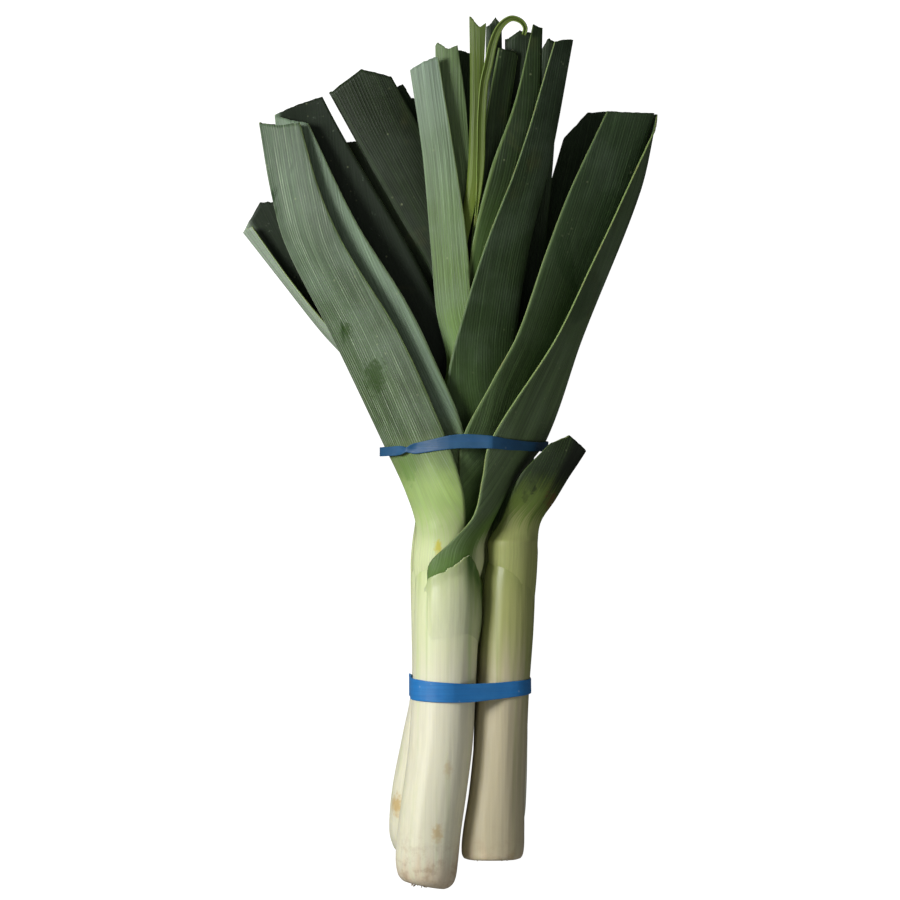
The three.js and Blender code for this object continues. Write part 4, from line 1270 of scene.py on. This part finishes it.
LEAVES = [
    Leaf("leaf_right_outer", Slot.LEAF_OUTER, RIGHT_OUTER, [
        (-62, 18.6, 52.4, -11.3, 71, -6.9, 37.3), (-50, 19, 51, 0.5, 72.2, 3, 38),
        (-36, 24.4, 46, 12.9, 71, 8, 35), (-15, 37, 36, 18, 72, 16, 29),
        (6, 54, 33, 22.5, 73, 37, 24.5), (65, 75, 30, 60, 67, 61, 20), (146, 107, 26, 98, 47, 97, 16),
        (189, 116.5, 26, 115, 33, 113.5, 18)], (-9, -4, 1, 1, 0),
        sheaths=[(-74, 17.7, -8, 124, -104)], fade=58),
    Leaf("leaf_left_outer", Slot.LEAF_OUTER, LEFT_OUTER, [
        (-22, -25, 52, 7.3, 71.5, -8, 40), (6, -38.5, 47, -1.7, 71, -14, 34),
        (65, -67, 43, -28, 64, -42, 32), (115, -92.4, 40, -59, 57, -70, 30),
        (146, -101, 38, -73, 52, -82, 29), (184, -107.5, 36, -84, 47, -91, 28)], (0, -1.4, 0.6, 0, 0),
        sheaths=[(-75, 16.3, 180, 24, 320), (-63, 17.5, 180, 30, 320), (-43, 15.9, 180, 44, 288)]),
    Leaf("leaf_right_inner", Slot.LEAF_OUTER, RIGHT, [
        (-22, 22, 44, 4, 67, 6, 36), (6, 47, 36.5, 6.5, 66.5, 30, 30), (37, 57, 35, 22.4, 64, 40, 28),
        (65, 69, 33, 37.5, 61, 55, 26), (110, 87, 31, 53.2, 53, 74, 24),
        (146, 101.5, 30, 67, 46, 89, 22.5), (190, 115.4, 28, 88, 38, 100, 22.5)], (1, 0.6, 0.6, 0, -1),
        sheaths=[(-42, 13.8, -5, 107, -95)]),
    Leaf("leaf_left_inner", Slot.LEAF_OUTER, LEFT_INNER, [
        (-20, -19.5, 52.5, 3, 63.5, -2, 44), (6, -32.5, 47.5, 8.8, 62.5, 0, 38.5),
        (57, -58, 45, -11.2, 58.5, 3, 39), (85, -71.5, 43, -25.2, 54, -8, 37.6),
        (130, -91, 40, -53.2, 48, -32, 35.5), (186, -99, 35.8, -79.5, 42, -71.7, 35)],
        (-2, 0, 3, 9, 13.4), sheaths=[(-40, 12, 180, 72, 280)]),
    Leaf("leaf_middle_right", Slot.LEAF_DARK, BLUISH, [
        (-18, 16, 49, -3, 59.6, 0, 47), (6, 38, 41.4, -4, 57, 6, 43.4),
        (43, 37, 42, -1.1, 54.6, 10, 43.4),
        (65, 37.5, 42, 3.9, 54, 12, 42), (115, 45, 42, 19.6, 54, 26, 39.6),
        (165, 57, 42, 39, 53, 42, 39), (230, 68.9, 42, 58.5, 50, 61, 39.6)], (-1, 0.6, 0.8, 0, -1),
        sheaths=[(-38, 10.2, 0, 104, -84)]),
    Leaf("leaf_middle_left", Slot.LEAF_PALE, PALE, [
        (-16, -13, 52.4, 2, 55.4, -4, 49.6), (6, -17, 49.6, 8, 51.6, 1, 46),
        (45, -2, 46, 10.6, 50.4, 5, 44.8),
        (79, -7.8, 45.6, 11.6, 50.4, 2, 43.4), (118, -11.2, 45.6, 9.4, 50.4, 0, 42.6),
        (168, -15.7, 46, 2, 50.2, -6, 42.8),
        (213, -22.4, 47, -6.6, 50.6, -12, 44.2)], (8, 5, 0.6, -1, -3),
        sheaths=[(-36, 8.4, 180, 84, 250)]),
    Leaf("leaf_heart_edge", Slot.LEAF_HEART, HEART_SHADED, [
        (38, 23.7, 46.1, 7, 47.4, 25, 45.1), (75, 26.7, 45.7, 8, 47, 28, 44.7),
        (115, 31.7, 45.9, 12.3, 48.2, 33, 44.9),
        (157, 43.7, 46.2, 22.4, 49.4, 45, 45.1), (195, 49.1, 46.7, 36, 49.4, 50.4, 45.5),
        (237, 50.2, 48.4, 46.4, 49.6, 51.4, 47.1)], (2, 1, 0, 0, 0)),
    Leaf("leaf_heart_right", Slot.LEAF_HEART, HEART_SHADED, [
        (56, 19.7, 43.1, 9, 43.6, 21, 42.1), (112, 23.7, 42.8, 11.4, 44.4, 25, 41.7),
        (149, 28.2, 42.8, 15.7, 45, 29.5, 41.7), (190, 31.7, 43.2, 20.5, 45.4, 33, 42.1),
        (224, 36.3, 44.2, 27, 46, 37.6, 43.1)], (2, 1, 0, -1, -2)),
    Leaf("leaf_heart_tall", Slot.LEAF_HEART, HEART, [
        (84, 3.3, 42.7, 6.4, 43, 2, 41.7), (112, 4.9, 44.7, 9, 45.2, 3.6, 43.7),
        (150, 10.8, 47.2, 16, 47.8, 9.5, 46.1),
        (185, 12.6, 48.7, 17.6, 49.2, 11.3, 47.7), (215, 12.7, 49.7, 19, 50.2, 11.4, 48.7),
        (240, 12.5, 50.5, 20.2, 51.2, 11.2, 49.5)], (-0.6, -2.8, 1.8, 2.8, 3.2)),
    Leaf("leaf_heart_left", Slot.LEAF_PALE, HEART_PALE, [
        (92, 0.3, 41, 6, 41.2, -1, 40.1), (120, 1.3, 41.3, 9, 41.6, 0, 40.3),
        (155, -1.7, 41.9, 11, 43, -3, 40.9),
        (190, -5.7, 43.1, 9.4, 44, -7, 42.1),
        (228, -6.7, 44.7, 4.2, 45.6, -8, 43.7)], (-0.6, -2.6, 1, 0.4, -1)),
    Leaf("leaf_centre_wide", Slot.LEAF_DARK, DEEP_GREEN_AND_SHADE, [
        (6, -11.7, 28.1, 13, 29.6, -13, 27.1), (60, -5.7, 33.1, 18, 34.2, -7, 32.1),
        (98, -8.2, 34, 19, 34.4, -9.5, 33.1),
        (132, -26.7, 32.8, 8, 33.8, -28, 31.9), (175, -50.7, 31, -14, 32, -52, 30.1),
        (206, -66.7, 29.4, -33, 30.4, -68, 28.5)], (5, 9, -3.4, -3.6, -4), neck=NECK_REAR_LEFT,
        sheaths=[(-76, 15.4, 160, 12, 192), (-64, 15.9, 160, 12, 192), (-52, 15, 160, 14, 190),
                 (-42.6, 13.6, 160, 18, 186)]),
    Leaf("leaf_centre_left", Slot.LEAF_DARK, DEEP_GREEN_AND_SHADE, [
        (6, -15.7, 24.5, 4, 25.6, -17, 23.5), (60, -13.7, 29.1, 1, 30.2, -15, 28.1),
        (96, -18.7, 29.7, -2, 30.6, -20, 28.7),
        (121, -34.7, 29.1, -17, 30, -36, 28.1),
        (170, -58.7, 27.7, -43.6, 28.8, -60, 26.7)], (1, 5, 4, 3, 2),
        neck=NECK_REAR_LEFT, sheaths=[(-42, 11.6, 164, 50, 196)]),
    Leaf("leaf_left_low", Slot.LEAF_OUTER, LEFT_LOW, [
        (6, -26, 17, -10, 20.6, -6, 11.6), (40, -48, 16.6, -35, 21, -30, 11),
        (68, -73, 16, -66, 21.4, -56, 10.6),
        (96, -94.6, 15, -89.6, 20.8, -79.4, 10.6), (126, -117, 14.4, -111.6, 19.6, -98, 11.6)],
        (1, 0, -2, 15, 15.6), neck=NECK_REAR_LEFT,
        sheaths=[(-76, 15.4, 222, 190, 324), (-64, 15.9, 222, 190, 324), (-52, 15, 222, 192, 321),
                 (-42.6, 13.6, 222, 194, 318)]),
    Leaf("leaf_rear_middle", Slot.LEAF_DARK, DARK, [
        (6, 5.7, 15.5, -9, 16.4, 7, 14.5), (60, 6.7, 21.5, -6, 22.6, 8, 20.5),
        (120, 6.7, 24.5, -9, 25.6, 8, 23.5),
        (160, -1.3, 25.1, -19, 26, 0, 24.1),
        (203, -22.3, 25.1, -31, 26, -21, 24.1)], (2, 4, -4, -4, -4),
        neck=NECK_REAR_LEFT, sheaths=[(-42, 11.6, 350, 398, 300)]),
    Leaf("leaf_centre_low", Slot.LEAF_DARK, DARK, [
        (6, 6.3, 20.7, 14.6, 21.6, 5, 19.7), (60, -0.7, 26.5, 12.4, 27.6, -2, 25.5),
        (120, -0.7, 29.5, 14.4, 30.6, -2, 28.5),
        (170, 1.3, 33.1, 16, 34.2, 0, 32.1),
        (223, 4.1, 38.2, 11.8, 39.4, 2.8, 37.1)], (0, 1.6, 2.4, 2, 1),
        neck=NECK_REAR_LEFT, sheaths=[(-41, 9.6, 150, 34, 190)]),
    Leaf("leaf_centre_pointed", Slot.LEAF_DARK, DARK, [
        (6, 17.7, 17.9, 24.6, 18.6, 16.4, 16.9), (60, 14.3, 24.5, 24, 25.4, 13, 23.5),
        (120, 16.3, 29.7, 26, 30.8, 15, 28.7),
        (180, 20.3, 34.9, 29.6, 36, 19, 33.9),
        (237, 22, 39.6, 29, 40.4, 20.7, 38.5)], (2, 6.4, 2, 1.6, 1.4),
        neck=NECK_REAR_LEFT, sheaths=[(-40, 7.6, 190, 50, 250)]),
    Leaf("leaf_rear_top", Slot.LEAF_DARK, DARK, [
        (6, 27.3, 22.1, 40, 23, 26, 21.1), (60, 28.3, 29.7, 38.6, 30.6, 27, 28.7),
        (120, 29.3, 34.7, 40, 35.8, 28, 33.7),
        (180, 32.7, 37.1, 44.6, 38.4, 31.4, 36.1),
        (230, 32.3, 40.5, 46, 41.8, 31, 39.5)], (4.6, 6, 1.4, 1, 1),
        neck=NECK_REAR_RIGHT, sheaths=[(-74, 12.9, 166, 2, 188), (-63, 13.5, 166, 2, 188),
        (-52, 12.9, 166, 3, 187),
                 (-42.6, 11.4, 166, 6, 184)]),
    Leaf("leaf_rear_olive", Slot.LEAF_DARK, DARK, [
        (6, 35.3, 17.1, 49, 18.4, 34, 16.1), (60, 37.3, 24.7, 48.6, 25.8, 36, 23.7),
        (120, 43.3, 30.1, 54, 31.2, 42, 29.1),
        (180, 48.3, 34.2, 59, 35.4, 47, 33.1),
        (227, 51.7, 37.6, 58.6, 38.8, 50.4, 36.5)], (3, 5, -1, -1, -1),
        neck=NECK_REAR_RIGHT, sheaths=[(-42, 9.4, 160, 0, 210)]),
    Leaf("leaf_right_low", Slot.LEAF_DARK, RIGHT, [
        (6, 23, 9.8, 46, 11.4, 36, 5), (65, 36, 8.4, 62, 10, 54, 3.6), (120, 48, 7.4, 76, 9, 68, 2.6),
        (184, 64, 6.6, 92, 7.8, 84, 2.4)], (9, 8, -7, 2, 8), neck=NECK_REAR_RIGHT,
        sheaths=[(-74, 12.9, 212, 188, 352), (-63, 13.5, 212, 188, 352), (-52, 12.9, 212, 189, 351),
                 (-42.6, 11.4, 212, 190, 350)]),
    Leaf("stump_outer", Slot.LEAF_OUTER, STUMP, [
        (-38.4, 51, 46, 28.6, 52, 30, 41), (-27, 58.8, 46, 33, 55, 36, 40.6),
        (-13.4, 67, 46.6, 39.2, 57, 44, 42),
        (-6, 71.6, 47.4, 46.4, 57, 51, 43),
        (2, 76.2, 48.4, 55.6, 57, 60, 44.4)], (2.4, 7, -1.4, -2, -1),
        neck=NECK_CUT, sheaths=[
            (-92, 10.6, 0, 168, -160), (-74, 12.6, 0, 168, -160), (-57, 13.6, 0, 168, -160),
            (-50, 13.6, 0, 168, -160)], turn=40, thick=1.4, fade=14),
    Leaf("stump_inner", Slot.LEAF_OUTER, STUMP, [
        (-36, 48, 46.4, 32.6, 50.4, 33, 44.2), (-24, 55.4, 46.6, 39, 53, 40, 43.8),
        (-12, 62.4, 47.2, 45.6, 54, 47, 44.4), (-1, 70, 48.2, 56, 54, 58.6, 45.6)], (1, 3, -2, -2, -2),
        turn=36, thick=1.1),
]


@dataclass
class Studio:
    """Pale floor, soft light from the left and a camera that looks down on the bunch."""

    camera_height: float = 3.04
    lens: float = 214.0
    key: float = 17.0
    key_place: tuple[float, float, float] = (-0.98, 0.3, 0.88)
    key_size: float = 0.42
    fill_share: float = 0.24
    fill_place: tuple[float, float, float] = (0.5, -0.9, 1.3)
    fill_size: float = 1.4
    sky: float = 0.14
    floor_size: float = 3.0
    floor_paint: tuple[float, float, float, float] = (0.2, 0.2, 0.19, 1.0)

    def build(self) -> None:
        """Make floor, lights, world and camera."""
        self._floor()
        self._light("key_light", self.key_place, self.key_size, self.key)
        self._light("fill_light", self.fill_place, self.fill_size, self.key * self.fill_share)
        world = bpy.data.worlds.new("studio_world")
        world.use_nodes = True
        world.node_tree.nodes["Background"].inputs[0].default_value = (1.0, 1.0, 1.0, 1.0)
        world.node_tree.nodes["Background"].inputs[1].default_value = self.sky
        bpy.context.scene.world = world
        bpy.context.scene.view_settings.view_transform = "Standard"
        self._camera()

    def _floor(self) -> None:
        """Wide plain floor, plain white to the camera and grey to the light."""
        bm = bmesh.new()
        bmesh.ops.create_grid(bm, x_segments=1, y_segments=1, size=self.floor_size)
        floor = finish_mesh(bm, "floor")
        paint, graph, shader, _ = start_material("floor_paper")
        shader.inputs["Base Color"].default_value = self.floor_paint
        shader.inputs["Roughness"].default_value = 0.9
        shader.inputs["Specular IOR Level"].default_value = 0.0
        seen = graph.node("LightPath").outputs["Is Camera Ray"]
        graph.feed(shader.inputs["Emission Color"], srgb(255, 255, 255))
        graph.feed(shader.inputs["Emission Strength"], seen)
        floor.data.materials.append(paint)

    @staticmethod
    def _light(name: str, place: tuple[float, float, float], size: float, power: float) -> None:
        """One soft square light that faces the bunch."""
        lamp = bpy.data.lights.new(name, "AREA")
        lamp.size = size
        lamp.energy = power
        holder = bpy.data.objects.new(name, lamp)
        holder.location = place
        holder.rotation_euler = (Vector((0, 0, 0.03)) - Vector(place)).to_track_quat("-Z", "Y").to_euler()
        bpy.context.scene.collection.objects.link(holder)

    def _camera(self) -> None:
        """Camera straight above, leaf tips up."""
        lens = bpy.data.cameras.new("camera")
        lens.lens = self.lens
        lens.sensor_width = 36.0
        holder = bpy.data.objects.new("camera", lens)
        holder.location = (0.0, 0.0, self.camera_height)
        bpy.context.scene.collection.objects.link(holder)
        bpy.context.scene.camera = holder


def main() -> None:
    """Build the bunch piece by piece, then the studio."""
    logging.basicConfig(level=logging.INFO)
    SharedEffects().build()
    shanks = {shank.name: shank.build() for shank in SHANKS}
    torn = TornSheath(SHANKS[0], replace(SHANKS[0].finish, strip=srgb(68, 102, 38)), TORN_RIM).build()
    leaves = {leaf.name: leaf.build() for leaf in LEAVES}
    CurledLeaf(HEART).build()
    bpy.context.view_layer.update()
    long_leaves = [piece for name, piece in leaves.items() if not name.startswith("stump")]
    Band(
        "band_lower", -134.0, lambda angle: 10.4 - 2.2 * math.cos(math.radians(angle)),
        lambda angle: 3.2 * math.cos(math.radians(angle)) ** 2, None, RubberFinish(),
    ).build([*shanks.values(), torn])
    Band(
        "band_upper", 4.5, lambda angle: 7.8 - 2.6 * math.cos(math.radians(angle)) ** 2,
        lambda angle: 1.2 - 4.4 * math.cos(math.radians(angle)) ** 2 + 1.4 * math.cos(math.radians(angle)),
        152.0, RubberFinish(colour=srgb(20, 76, 112), worn=srgb(44, 102, 140)),
    ).build(long_leaves)
    Studio().build()


if __name__ == "__main__":
    main()
